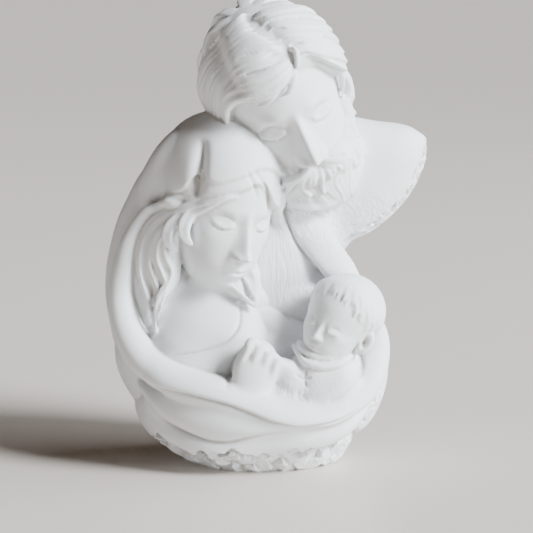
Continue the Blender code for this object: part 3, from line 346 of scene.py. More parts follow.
class Surface:
    """The fused skin's points while strokes, chips and masks are worked into them, in parts."""

    def __init__(self, mesh: bpy.types.Mesh, voxel: float) -> None:
        """Reads the mesh.

        Args:
            mesh: The skin.
            voxel: Its grid, in metres, which sets how often the brush passes.
        """
        self.mesh = mesh
        self.soft = (0.0012 / voxel) ** 2
        found = np.empty(len(mesh.vertices) * 3, np.float32)
        mesh.vertices.foreach_get("co", found)
        self.points: np.ndarray = found.reshape(-1, 3).astype(float) / PART
        self.normals = self.read_normals()
        self.masks = {kind: np.zeros(len(self.points)) for kind in Grain}

    def read_normals(self) -> np.ndarray:
        """The mesh's point normals."""
        found = np.empty(len(self.mesh.vertices) * 3, np.float32)
        self.mesh.vertex_normals.foreach_get("vector", found)
        return found.reshape(-1, 3).astype(float)

    def write_points(self) -> None:
        """Gives the mesh its points back."""
        self.mesh.vertices.foreach_set("co", (self.points * PART).astype(np.float32).ravel())
        self.mesh.update()

    def refresh(self) -> None:
        """Brings the normals up to date."""
        self.write_points()
        self.normals = self.read_normals()

    def near_line(self, line: np.ndarray, reach_to: float, depth: float) -> tuple[np.ndarray, ...]:
        """The front's points round a line, as seen from the front.

        Args:
            line: Rows of x, y, z.
            reach_to: How far from the line points are taken.
            depth: How far behind the line a point may lie.

        Returns:
            Their indices, each one's nearest place on the line, its distance and its share of depth.
        """
        low = line.min(0) - reach_to
        high = line.max(0) + reach_to
        p = self.points
        seen = (p[:, 0] > low[0]) & (p[:, 0] < high[0]) & (p[:, 2] > low[2]) & (p[:, 2] < high[2])
        seen &= (self.normals[:, 1] < 0.35) & (p[:, 1] < high[1] + depth)
        index = np.nonzero(seen)[0]
        near = p[index]
        place = np.zeros(len(index), int)
        away = np.zeros(len(index))
        for start in range(0, len(index), BATCH):
            some = near[start : start + BATCH]
            apart = (some[:, None, 0] - line[None, :, 0]) ** 2 + (some[:, None, 2] - line[None, :, 2]) ** 2
            nearest = apart.argmin(1)
            place[start : start + BATCH] = nearest
            away[start : start + BATCH] = np.sqrt(apart[np.arange(len(nearest)), nearest])
        behind = np.maximum(np.abs(near[:, 1] - line[place, 1]) - 6.0, 0.0)
        return index, place, away, np.exp(-((behind / depth * 2.0) ** 2))

    def stroke(
        self,
        path: Rows,
        width: float,
        lift: float,
        cut: Cut = Cut.GROOVE,
        ends: float = 0.5,
        depth: float = 16.0,
    ) -> None:
        """Raises or cuts the front along a path.

        Args:
            path: Rows of x, y, z.
            width: How wide the stroke is.
            lift: How far it raises the surface, below 0 to cut.
            cut: A groove, or a step that lifts only the side to the left of the path's run.
            ends: Below 1 the stroke keeps its depth towards its ends.
            depth: How far behind the path the stroke still cuts.
        """
        count = 320
        line = curve_through(path, count)
        index, k, away, same = self.near_line(line[:, :3], 4.0 * width + 2.0, depth)
        if len(index) == 0:
            return
        fade = np.sin(math.pi * np.clip((k + 0.5) / count, 0.0, 1.0)) ** ends * same
        if cut is Cut.STEP:
            run = np.gradient(line[:, [0, 2]], axis=0)
            run /= np.linalg.norm(run, axis=1)[:, None]
            gap = self.points[index][:, [0, 2]] - line[k][:, [0, 2]]
            left = run[k, 0] * gap[:, 1] - run[k, 1] * gap[:, 0]
            amount = smooth(-0.5, 0.9, left) * np.exp(-((np.maximum(left, 0.0) / width) ** 2))
            amount *= np.exp(-((np.maximum(away - np.abs(left), 0.0) / 2.0) ** 2))
        else:
            amount = np.exp(-((away / width) ** 2))
        self.points[index] += (lift * amount * fade)[:, None] * self.normals[index]

    def mark(self, kind: Grain, path: Rows, width: float, amount: float = 1.0, depth: float = 16.0) -> None:
        """Marks the front along a path for a kind of grain."""
        line = curve_through(path, 60)
        index, _, away, same = self.near_line(line[:, :3], 1.6 * width, depth)
        share = amount * smooth(1.5 * width, 0.7 * width, away) * same
        self.masks[kind][index] = np.maximum(self.masks[kind][index], share)

    def facets(
        self,
        inside: np.ndarray,
        spacing: float,
        bites: tuple[float, float],
        tilt: float,
        rng: np.random.Generator,
        rim: np.ndarray | None = None,
        rim_bite: float = 0.0,
    ) -> None:
        """Strikes a region into flats, each on the plane of one blow.

        Args:
            inside: True for each point of the region.
            spacing: How far apart the blows fall.
            bites: The least and the greatest depth of a blow.
            tilt: How far the planes lean at random.
            rng: Where the chance comes from.
            rim: How near each point is to the region's upper edge, from 0 to 1, where blows go deeper.
            rim_bite: How much deeper they go there.
        """
        pool = np.nonzero(inside)[0]
        order = rng.permutation(pool)
        seeds: list[int] = []
        spots = np.empty((0, 3))
        for index in order[: 40 * max(1, len(pool) // 400)]:
            spot = self.points[index]
            if len(spots) == 0 or ((spots - spot) ** 2).sum(1).min() > spacing**2:
                seeds.append(int(index))
                spots = np.vstack([spots, spot])
        ways = np.empty((len(seeds), 3))
        bite = rng.uniform(*bites, len(seeds))
        for k, index in enumerate(seeds):
            near = ((self.points[pool] - spots[k]) ** 2).sum(1) < spacing**2
            way = self.normals[pool[near]].mean(0)
            way = way / np.linalg.norm(way) + rng.uniform(-tilt, tilt, 3)
            ways[k] = way / np.linalg.norm(way)
            if rim is not None:
                bite[k] += rim_bite * rim[index] * rng.uniform(0.3, 1.3)
        for start in range(0, len(pool), BATCH):
            index = pool[start : start + BATCH]
            here = self.points[index]
            apart = ((here[:, None, :] * (1.0, 1.0, 0.62) - spots[None, :, :] * (1.0, 1.0, 0.62)) ** 2).sum(2)
            k = apart.argmin(1)
            beyond = ((here - spots[k]) * ways[k]).sum(1) + bite[k]
            self.points[index] -= np.clip(beyond, 0.0, 1.6 * spacing)[:, None] * ways[k]

    def relax(self, centre: Row, radii: Row, passes: float) -> None:
        """Evens the surface out within radii of centre, as a wet brush would."""
        found = np.empty(len(self.mesh.edges) * 2, np.int32)
        self.mesh.edges.foreach_get("vertices", found)
        one, two = found.reshape(-1, 2).T
        p = self.points
        near = (((p - np.array(centre, float)) / radii) ** 2).sum(1)
        share = smooth(1.0, 0.6, near)
        kept = (share[one] > 0) & (share[two] > 0)
        one, two = one[kept], two[kept]
        used, local = np.unique(np.concatenate([one, two]), return_inverse=True)
        head, tail = local[: len(one)], local[len(one) :]
        ends = np.concatenate([head, tail])
        count = np.maximum(np.bincount(ends, minlength=len(used)), 1)
        some = p[used]
        weight = (0.6 * share[used])[:, None]
        for _ in range(round(passes * self.soft)):
            others = np.concatenate([some[tail], some[head]])
            mean = np.stack([np.bincount(ends, others[:, k], len(used)) for k in range(3)], axis=1) / count[:, None]
            some = some + weight * (mean - some)
        p[used] = some

    def hollows(self, passes: int) -> None:
        """Marks what lies below its surroundings, where the finish paints shade into the colour."""
        found = np.empty(len(self.mesh.edges) * 2, np.int32)
        self.mesh.edges.foreach_get("vertices", found)
        one, two = found.reshape(-1, 2).T
        ends = np.concatenate([one, two])
        count = np.maximum(np.bincount(ends, minlength=len(self.points)), 1)
        even = self.points
        for _ in range(passes):
            others = np.concatenate([even[two], even[one]])
            even = np.stack([np.bincount(ends, others[:, k], len(even)) for k in range(3)], axis=1) / count[:, None]
        below = ((even - self.points) * self.normals).sum(1)
        self.masks[Grain.HOLLOW] = np.clip(0.5 + below / 0.7, 0.0, 1.0)

    def done(self) -> None:
        """Writes the points and the masks back."""
        self.write_points()
        for kind, values in self.masks.items():
            layer = self.mesh.attributes.new(kind.value, "FLOAT", "POINT")
            layer.data.foreach_set("value", values.astype(np.float32))


@dataclass(frozen=True)
class FaceSizes:
    """Where a plain face's features stand and how far, as shares of the head's height."""

    eye_x: float
    eye_z: float
    eye_w: float
    eye_h: float
    nose_z: float
    mouth_z: float
    nose: float
    nostril: float
    mouth_w: float
    lips: float
    cheek: float
    jaw: float
    chin: float
    brow: float
    socket: float
    lid: float
    ear_lat: float
    line: float = 1.0


Lobes = tuple[tuple[Row, Row], ...]

ADULT_SKULL: Lobes = (((0.0, 0.035, 0.13), (0.325, 0.43, 0.37)), ((0.0, -0.11, -0.13), (0.262, 0.300, 0.365)))
CHILD_SKULL: Lobes = (((0.0, 0.040, 0.09), (0.410, 0.47, 0.41)), ((0.0, -0.13, -0.14), (0.305, 0.300, 0.35)))


@dataclass
class Head:
    """A head in the group. Inside it lengths are shares of its height, with the face at -Y.

    Args:
        height: Its height, in metres.
        centre: Its middle, in parts.
        lean: Its nod, turn and lean, in degrees.
        skull: Middles and radii of the ellipsoids that its form is blended from.
        face: The proportions of its face.
    """

    height: float
    centre: Row
    lean: Row
    skull: Lobes
    face: FaceSizes

    SOFTNESS = 12

    def reach(self, ways: np.ndarray) -> np.ndarray:
        """How far the skull's surface lies from the middle of the head, along each direction."""
        total = np.zeros(len(ways))
        for centre, radii in self.skull:
            along = ways / radii
            offset = np.array(centre) / radii
            a = (along**2).sum(1)
            b = along @ offset
            total += ((b + np.sqrt(b**2 - a * (offset @ offset - 1.0))) / a) ** self.SOFTNESS
        return total ** (1.0 / self.SOFTNESS)

    def placed(self, points: np.ndarray) -> np.ndarray:
        """Head shares to parts of the group."""
        return (np.asarray(points) * self.height / PART) @ turned(*self.lean).T + np.array(self.centre)

    def over(self, lon: np.ndarray, lat: np.ndarray, lift: np.ndarray) -> np.ndarray:
        """Points at a lift above the skull, in head shares."""
        ways = direction(np.asarray(lon, float), np.asarray(lat, float))
        return ways * (self.reach(ways) + np.asarray(lift))[:, None]

    def lock(
        self,
        clay: Clay,
        path: Rows,
        width: float,
        thickness: float,
        lobes: int = 3,
        groove: float = 0.3,
        blunt: float = 0.5,
        taper: float = 0.6,
        sway: float = 0.0,
        waves: float = 1.5,
        phase: float = 0.0,
    ) -> None:
        """A lock of hair along rows of turn, height and lift.

        Args:
            clay: Where it is added.
            path: Rows of turn and height in degrees, and lift in head shares.
            width: Half its width, in head shares.
            thickness: Half its thickness, in head shares.
            lobes: Grooves along it.
            groove: Their depth.
            blunt: Below 1 its ends are rounder.
            taper: How much narrower its tip is.
            sway: How far it swings to the sides, in degrees.
            waves: How many swings it makes.
            phase: Where the swings start, in turns.
        """
        rows = np.array(path, float)
        if sway:
            rows = curve_through(rows, 14)
            run = np.gradient(rows[:, :2], axis=0)
            run /= np.maximum(np.linalg.norm(run, axis=1)[:, None], 1e-6)
            share = np.linspace(0.0, 1.0, len(rows))
            swing = sway * np.sin(math.tau * (waves * share + phase))
            swing = swing * np.sin(math.pi * np.clip(share, 0.05, 1.0)) ** 0.3
            rows[:, 0] -= run[:, 1] * swing
            rows[:, 1] += run[:, 0] * swing
        share = np.linspace(0.0, 1.0, len(rows))
        slim = 1.0 - taper * share**2
        at = self.placed(self.over(rows[:, 0], rows[:, 1], rows[:, 2]))
        size = self.height / PART * np.stack([width * slim, thickness * slim], axis=1)
        clay.strand(np.hstack([at, size]), self.centre, lobes, groove, blunt)

    def add_face(self, clay: Clay) -> None:
        """The bare head, with its face worked out from its proportions."""
        f = self.face
        ball, ways = clay.stock.take(260, 190)
        p = ways * self.reach(ways)[:, None]
        p = push_pair(p, (0.20, -0.26, f.eye_z - 0.07), (0.09, 0.12, 0.08), (0.012, -0.012 - f.cheek, 0.0))
        p = push_pair(p, (0.13, -0.32, f.nose_z - 0.08), (0.10, 0.10, 0.11), (0.01, -f.cheek, -0.0))
        p = push_pair(p, (0.21, -0.08, -0.33), (0.09, 0.12, 0.10), (f.jaw, 0.0, -0.5 * f.jaw))
        p = push(p, (0.0, -0.34, -0.435), (0.085, 0.09, 0.065), (0.0, -f.chin, -0.012))
        p = push_pair(p, (0.10, -0.40, f.eye_z + 0.085), (0.085, 0.10, 0.030), (0.0, -f.brow, 0.0))
        p = push_pair(p, (f.eye_x, -0.40, f.eye_z + 0.005), (0.080, 0.12, 0.050), (0.0, f.socket, 0.0))
        p = push(p, (0.0, -0.38, f.mouth_z), (0.12, 0.10, 0.085), (0.0, -0.024, 0.0))
        p[:, 1] -= self.features(p) * smooth(-0.05, -0.2, p[:, 1])
        clay.add(ball, self.placed(p))

    def features(self, p: np.ndarray) -> np.ndarray:
        """How far the nose, the lowered lids and the lips stand forward.

        Args:
            p: Points of the bare head, in head shares.

        Returns:
            One share for each point.
        """
        f = self.face
        z = p[:, 2]
        width = np.abs(p[:, 0])
        root, tip = f.eye_z + 0.05, f.nose_z + 0.034
        along = np.clip((root - z) / (root - tip), 0.0, 1.0)
        height = f.nose * (0.22 + 0.78 * along**1.1)
        height *= smooth(root + 0.08, root - 0.03, z) * smooth(f.nose_z - 0.030, f.nose_z + 0.024, z)
        breadth = 0.030 + f.nostril * 0.36 * along**2
        forward = height * np.exp(-((width / breadth) ** 2.0))
        forward += f.nose * 0.16 * np.exp(-((width / 0.030) ** 2) - ((z - tip) / 0.030) ** 2)
        wing = np.exp(-(((width - f.nostril * 0.78) / 0.021) ** 2) - ((z - f.nose_z - 0.022) / 0.025) ** 2)
        forward += f.nose * 0.42 * wing
        crease = np.exp(-(((width - f.nostril * 1.25) / 0.012) ** 2) - ((z - f.nose_z - 0.026) / 0.026) ** 2)
        forward -= 0.008 * f.line * crease
        under = np.exp(-(((width - 0.026) / 0.014) ** 2) - ((z - f.nose_z + 0.002) / 0.011) ** 2)
        forward -= 0.020 * under
        u = (width - f.eye_x) / f.eye_w
        inside = np.clip(1.0 - u**2, 0.0, 1.0)
        v = (z - f.eye_z) / f.eye_h
        forward += f.lid * np.exp(-((0.95 * u) ** 4) - (0.78 * v) ** 4) * (1.0 - 0.25 * u**2)
        edge = f.eye_z - 0.30 * f.eye_h - 0.50 * f.eye_h * inside
        meet = smooth(0.0, 0.30, inside)
        forward += 0.012 * f.line * smooth(edge - 0.004, edge + 0.005, z) * smooth(edge + 0.050, edge + 0.012, z) * meet
        forward -= 0.015 * f.line * np.exp(-(((z - edge + 0.006) / (0.0070 * f.line)) ** 2)) * meet
        fold = f.eye_z + 0.45 * f.eye_h + 0.70 * f.eye_h * inside
        forward -= 0.013 * f.line * np.exp(-(((z - fold) / (0.0095 * f.line)) ** 2)) * smooth(-0.15, 0.5, inside)
        under_lid = f.eye_z - 0.95 * f.eye_h * (1.0 - 0.55 * u**2)
        forward -= 0.007 * f.line * np.exp(-(((z - under_lid) / 0.012) ** 2)) * smooth(0.0, 0.5, inside)
        forward += 0.006 * np.exp(-(((z - fold - 0.030) / 0.022) ** 2)) * smooth(-0.4, 0.6, 1.0 - 0.6 * u**2)
        m = width / f.mouth_w
        open_to = np.clip(1.0 - m**2, 0.0, 1.0)
        line = f.mouth_z + 0.006 * np.cos(4.5 * m) * open_to + 0.004 * m**2
        upper = line + 0.017 + 0.004 * np.cos(6.0 * m)
        forward += f.lips * 0.85 * np.exp(-(((z - upper) / 0.0135) ** 2)) * np.sqrt(open_to)
        forward += f.lips * np.exp(-(((z - line + 0.024) / 0.018) ** 2)) * open_to**0.8
        forward -= 0.018 * f.line * np.exp(-(((z - line) / (0.0075 * f.line)) ** 2)) * smooth(1.25, 0.75, m)
        forward -= 0.016 * np.exp(-(((z - f.mouth_z + 0.068) / 0.022) ** 2) - (width / 0.07) ** 2)
        trough = np.exp(-((width / 0.014) ** 2) - ((z - 0.5 * (f.mouth_z + f.nose_z) - 0.012) / 0.028) ** 2)
        return forward - 0.007 * trough

    def add_cap(self, clay: Clay, bounds: Rows, lift: float, bare: float = -0.03, edge: float = 5.0) -> None:
        """A cap of hair or cloth over the skull.

        Args:
            clay: Where it is added.
            bounds: Rows of turn and height that it lies above, in degrees.
            lift: How far it stands off the skull.
            bare: Where its hidden part lies.
            edge: How soft its edge is, in degrees.
        """
        ball, ways = clay.stock.take(220, 160)
        lon = np.degrees(np.arctan2(ways[:, 0], -ways[:, 1]))
        lat = np.degrees(np.arcsin(np.clip(ways[:, 2], -1.0, 1.0)))
        even = curve_through([(*row, 0.0) for row in bounds], 240)
        limit = np.interp(lon, even[:, 0], even[:, 1])
        cover = smooth(-edge, edge, lat - limit)
        clay.add(ball, self.placed(ways * (self.reach(ways) + bare + (lift - bare) * cover)[:, None]))

    def add_ear(self, clay: Clay, side: int, size: float, lon: float = 94.0) -> None:
        """An ear: a flat form with a rolled rim, a bowl and a lobe.

        Args:
            clay: Where it is added.
            side: 1 for the viewer's right, -1 for the left.
            size: Half its height, in head shares.
            lon: Its turn away from the nose, in degrees.
        """
        ball, p = clay.stock.take(72, 52)
        up, fore, out = p[:, 2], p[:, 1], p[:, 0] * side
        away = np.sqrt((fore / 0.95) ** 2 + up**2)
        rim = np.exp(-(((away - 0.80) / 0.16) ** 2)) * smooth(-0.75, -0.35, up + 0.6 * fore + 0.1)
        inner = np.exp(-(((away - 0.50) / 0.11) ** 2)) * smooth(-0.35, 0.15, fore)
        bowl = np.exp(-(((fore + 0.14) / 0.30) ** 2) - ((up + 0.02) / 0.36) ** 2)
        depth = np.where(out > 0, 0.22 + 0.22 * rim + 0.12 * inner - 0.56 * bowl, 0.36)
        flat = np.sign(out) * side * depth * np.sqrt(np.abs(out))
        shaped = np.stack([flat, fore * (0.56 + 0.16 * up), up], axis=1)
        back = Matrix.Rotation(math.radians(-10), 3, "X")
        tilt = np.array(back @ Matrix.Rotation(math.radians(-56 * side), 3, "Z"))
        spot = self.over([lon * side], [self.face.ear_lat], [0.03])[0]
        clay.add(ball, self.placed(shaped @ tilt.T * size + spot))


@dataclass
class Man:
    """The man: a bearded head bent over the woman's, a chest and the one shoulder that shows.

    Args:
        height: The head's height, in metres.
        lock_width: A lock of hair's width, in metres.
        curls: How many locks hang from the beard's lower edge.
        tuft_turn: How broad a tuft of the beard is, in degrees round the head.
        crown_waves: How many locks sweep over the left of the head.
        fringe_locks: How many locks cross the forehead.
        temple_locks: How many locks turn back over the right temple.
    """

    height: float = 0.099
    lock_width: float = 0.0085
    curls: int = 15
    tuft_turn: float = 12.0
    crown_waves: int = 20
    fringe_locks: int = 9
    temple_locks: int = 13

    FACE = FaceSizes(
        eye_x=0.140, eye_z=0.000, eye_w=0.066, eye_h=0.036, nose_z=-0.205, mouth_z=-0.305, nose=0.112,
        nostril=0.072, mouth_w=0.100, lips=0.014, cheek=-0.006, jaw=0.020, chin=0.040, brow=0.024,
        socket=0.045, lid=0.029, ear_lat=-7.0,
    )
    HAIRLINE = (
        (-180, -42), (-120, -42), (-95, -36), (-80, -22), (-64, 6), (-52, 24), (-36, 31), (0, 36), (16, 38),
        (34, 33), (48, 22), (62, 12), (80, 14), (108, 8), (124, -30), (180, -42),
    )
    BEARDLINE = (
        (-180, 90), (-80, 90), (-72, -4), (-56, -20), (-34, -26), (-14, -25), (0, -26), (14, -25), (34, -26),
        (56, -20), (72, -4), (80, 90), (180, 90),
    )
    CHEST = (
        (11, 50.5), (20, 55.0), (33, 54.7), (52, 43.6), (68, 39.2), (90, 38.0), (135, 42.0), (180, 46.0),
        (225, 54.0), (262, 46.0), (274, 41.0), (290, 32.6), (310, 33.4), (327, 35.5), (341, 38.9), (354, 43.4),
    )

    def head(self) -> Head:
        """The man's head in its place."""
        return Head(self.height, (8.5, -5.0, 194.6), (20, 5, -24), ADULT_SKULL, self.FACE)

    @property
    def broad(self) -> float:
        """Half a lock's width, in head shares."""
        return self.lock_width / self.height / 2

    def add_to(self, clay: Clay) -> None:
        """Adds the whole man to the clay."""
        head = self.head()
        head.add_face(clay)
        head.add_ear(clay, 1, 0.120, lon=80.0)
        head.add_cap(clay, self.HAIRLINE, 0.045)
        self.add_front_hair(clay, head)
        self.add_back_hair(clay, head)
        self.add_beard(clay, head)
        self.add_body(clay)

    def add_front_hair(self, clay: Clay, head: Head) -> None:
        """Waves from the parting over the left of the head, the fringe and the locks over the right temple."""
        for k in range(self.crown_waves):
            t = k / (self.crown_waves - 1)
            up = 0.014 * (k % 2)
            rows = [
                (20 - 30 * t, 46 + 40 * t, 0.01), (8 - 40 * t, 53 + 33 * t, 0.045 + up),
                (-20 - 45 * t, 56 + 14 * t, 0.048 + up), (-46 - 42 * t, 47 + 2 * t, 0.052 + up),
                (-62 - 50 * t, 26 - 6 * t, 0.050 + up), (-70 - 64 * t, 2 - 14 * t, 0.046),
                (-72 - 68 * t, -16 - 20 * t, 0.03),
            ]
            head.lock(clay, rows, self.broad * 0.88, 0.027, 4, 0.42, sway=1.1, waves=1.6, phase=0.13 * k)
        for k in range(self.fringe_locks):
            t = k / (self.fringe_locks - 1)
            up = 0.012 * (k % 2)
            rows = [
                (17, 39 + 7 * t, 0.03), (4, 34 + 9 * t, 0.05 + up), (-14, 30 + 11 * t, 0.055 + up),
                (-34, 31 + 11 * t, 0.058 + up), (-52, 24 + 12 * t, 0.055 + up), (-64 - 2 * t, 4 + 12 * t, 0.045),
                (-69 - 3 * t, -14 + 8 * t, 0.015),
            ]
            head.lock(clay, rows, self.broad * 0.74, 0.024, 4, 0.42, sway=0.9, waves=1.4, phase=0.2 * k)
        for k in range(4):
            up = 0.012 * (k % 2)
            rows = [
                (14 - 2 * k, 46 + 2 * k, 0.03), (-6, 44 + 2.4 * k, 0.050 + up), (-26, 44 + 2.6 * k, 0.054 + up),
                (-46, 38 + 2.6 * k, 0.056 + up), (-60, 22 + 2.8 * k, 0.052), (-68, 2 + 3 * k, 0.030),
            ]
            head.lock(clay, rows, self.broad * 0.9, 0.026, 4, 0.42, sway=0.8, phase=0.25 * k)
        for rows, wide in (
            ([(10, 40, 0.03), (2, 34, 0.045), (-8, 31, 0.045), (-20, 30, 0.035)], 0.8),
            ([(14, 38, 0.04), (9, 32, 0.055), (2, 27, 0.045), (-7, 26, 0.02)], 0.7),
            ([(12, 42, 0.03), (5, 36, 0.042), (-3, 33, 0.044), (-12, 31, 0.03)], 0.9),
            ([(2, 34, 0.03), (-8, 28, 0.05), (-18, 25, 0.04), (-27, 26, 0.015)], 0.6),
            ([(19, 50, 0.045), (21, 45, 0.075), (16, 38, 0.06), (11, 35, 0.03)], 0.6),
            ([(50, 26, 0.04), (60, 14, 0.045), (66, 0, 0.035), (66, -14, 0.02)], 0.7),
            ([(54, 30, 0.05), (64, 20, 0.055), (70, 6, 0.045), (71, -6, 0.03)], 0.6),
        ):
            head.lock(clay, rows, self.broad * wide, 0.020, 2, 0.35)
        for k in range(self.temple_locks):
            t = k / (self.temple_locks - 1)
            up = 0.012 * (k % 2)
            rows = [
                (16 - 20 * t, 42 + 42 * t, 0.01), (30 - 8 * t, 41 + 40 * t, 0.05 + up),
                (46 + 8 * t, 29 + 44 * t, 0.07 + up), (60 + 24 * t, 16 + 42 * t, 0.08 + up),
                (76 + 30 * t, 10 + 32 * t, 0.05),
            ]
            head.lock(clay, rows, self.broad * 0.95, 0.026, 4, 0.42, sway=0.9, waves=1.2, phase=0.3 * k)

    def add_back_hair(self, clay: Clay, head: Head) -> None:
        """Rows of short locks down the back of the head."""
        for ring, (top, low) in enumerate(((80, 46), (52, 14), (22, -20), (-4, -40))):
            for k in range(9 + 3 * ring):
                lon = 104 + 152 * (k + 0.5 * (ring % 2)) / (8 + 3 * ring)
                bend = 8 if (k + ring) % 2 else -7
                rows = [(lon, top, 0.045), (lon + bend, 0.5 * (top + low), 0.058), (lon + 0.4 * bend, low - 6, 0.035)]
                head.lock(clay, rows, self.broad * 1.3, 0.024, 4, 0.35)

    def add_beard(self, clay: Clay, head: Head) -> None:
        """A full beard: its mass, rows of tapered curls, a moustache and the whiskers up to the ears."""
        ball, ways = clay.stock.take(520, 320)
        lon = np.degrees(np.arctan2(ways[:, 0], -ways[:, 1]))
        lat = np.degrees(np.arcsin(np.clip(ways[:, 2], -1.0, 1.0)))
        top = np.interp(lon, [b[0] for b in self.BEARDLINE], [b[1] for b in self.BEARDLINE])
        cover = smooth(3.0, -9.0, lat - top) * smooth(84.0, 66.0, np.abs(lon))
        full = 0.034 + 0.056 * smooth(-30.0, -58.0, lat)
        full -= 0.016 * np.exp(-((lon / 13.0) ** 2) - ((lat + 40.0) / 3.5) ** 2)
        full += 0.052 * tufts(lon, lat, self.tuft_turn)
        clay.add(ball, head.placed(ways * (head.reach(ways) - 0.04 + (0.04 + full) * cover)[:, None]))
        for ring, (low, reach_to) in enumerate(((-60, 62), (-72, 46))):
            for k in range(self.curls - 2 * ring):
                lon_k = -reach_to + 2 * reach_to * k / (self.curls - 1 - 2 * ring)
                up = 0.090 if low < -65 else 0.082
                rows = [
                    (lon_k, low + 16, up - 0.020), (lon_k * 0.92 + 3 * (-1) ** k, low + 5, up + 0.006),
                    (lon_k * 0.80, low - 7 - 3 * (k % 2), up - 0.004),
                ]
                head.lock(clay, rows, self.broad * 0.85, 0.022, 3, 0.42, sway=1.5, phase=0.21 * k)
        for side in (-1, 1):
            for k in range(4):
                rows = [
                    ((1 + k) * side, -26.5 - 2.2 * k, 0.02), (11 * side, -28.5 - 2.6 * k, 0.048),
                    (24 * side, -34 - 3.0 * k, 0.060), (38 * side, -43 - 3.4 * k, 0.062),
                    (46 * side, -52 - 3 * k, 0.060),
                ]
                head.lock(clay, rows, self.broad * 0.62, 0.024, 3, 0.4, sway=1.2, phase=0.3 * k)
        for k in range(3):
            rows = [
                (-70 + 5 * k, 2 - 10 * k, 0.02), (-65 + 5 * k, -10 - 9 * k, 0.035),
                (-66 + 7 * k, -22 - 8 * k, 0.03),
            ]
            head.lock(clay, rows, self.broad * 1.1, 0.020, 3, 0.38)
            rows = [(64 - 3 * k, -18 - 7 * k, 0.01), (60 - 3 * k, -25 - 7 * k, 0.028), (62 - 5 * k, -34 - 6 * k, 0.02)]
            head.lock(clay, rows, self.broad * 0.8, 0.018, 3, 0.38)

    def add_body(self, clay: Clay) -> None:
        """The neck, the chest, the broken-off shoulder and the robe that runs down to the infant."""
        clay.strand([(22, 10, 186, 20, 18), (26, 14, 164, 22, 19), (30, 18, 140, 26, 20)], (24, 70, 170))
        clay.cushion((35, 14, 148), self.CHEST, 20, 20, plump=0.62)
        clay.strand(
            [(22, 14, 162, 20, 19), (44, 14, 165, 18.5, 18), (62, 14, 166, 16.5, 16), (76, 14, 166, 14.5, 14),
             (87, 14, 165, 13, 12)],
            (50, 70, 150),
            blunt=0.16,
        )
        robe = [(0, 26), (40, 34), (90, 50), (140, 44), (180, 40), (270, 40), (320, 30)]
        clay.cushion((14, 6, 116), robe, 21, 30)
        clay.strand(
            [(7, -4, 158, 3, 5), (13, -8, 145, 5.5, 6), (20, -11, 131, 7.5, 6), (29, -13, 118, 9.5, 6),
             (39, -14, 105, 10.5, 6.5), (50, -12, 94, 9, 7)],
            (14, 40, 110),
        )


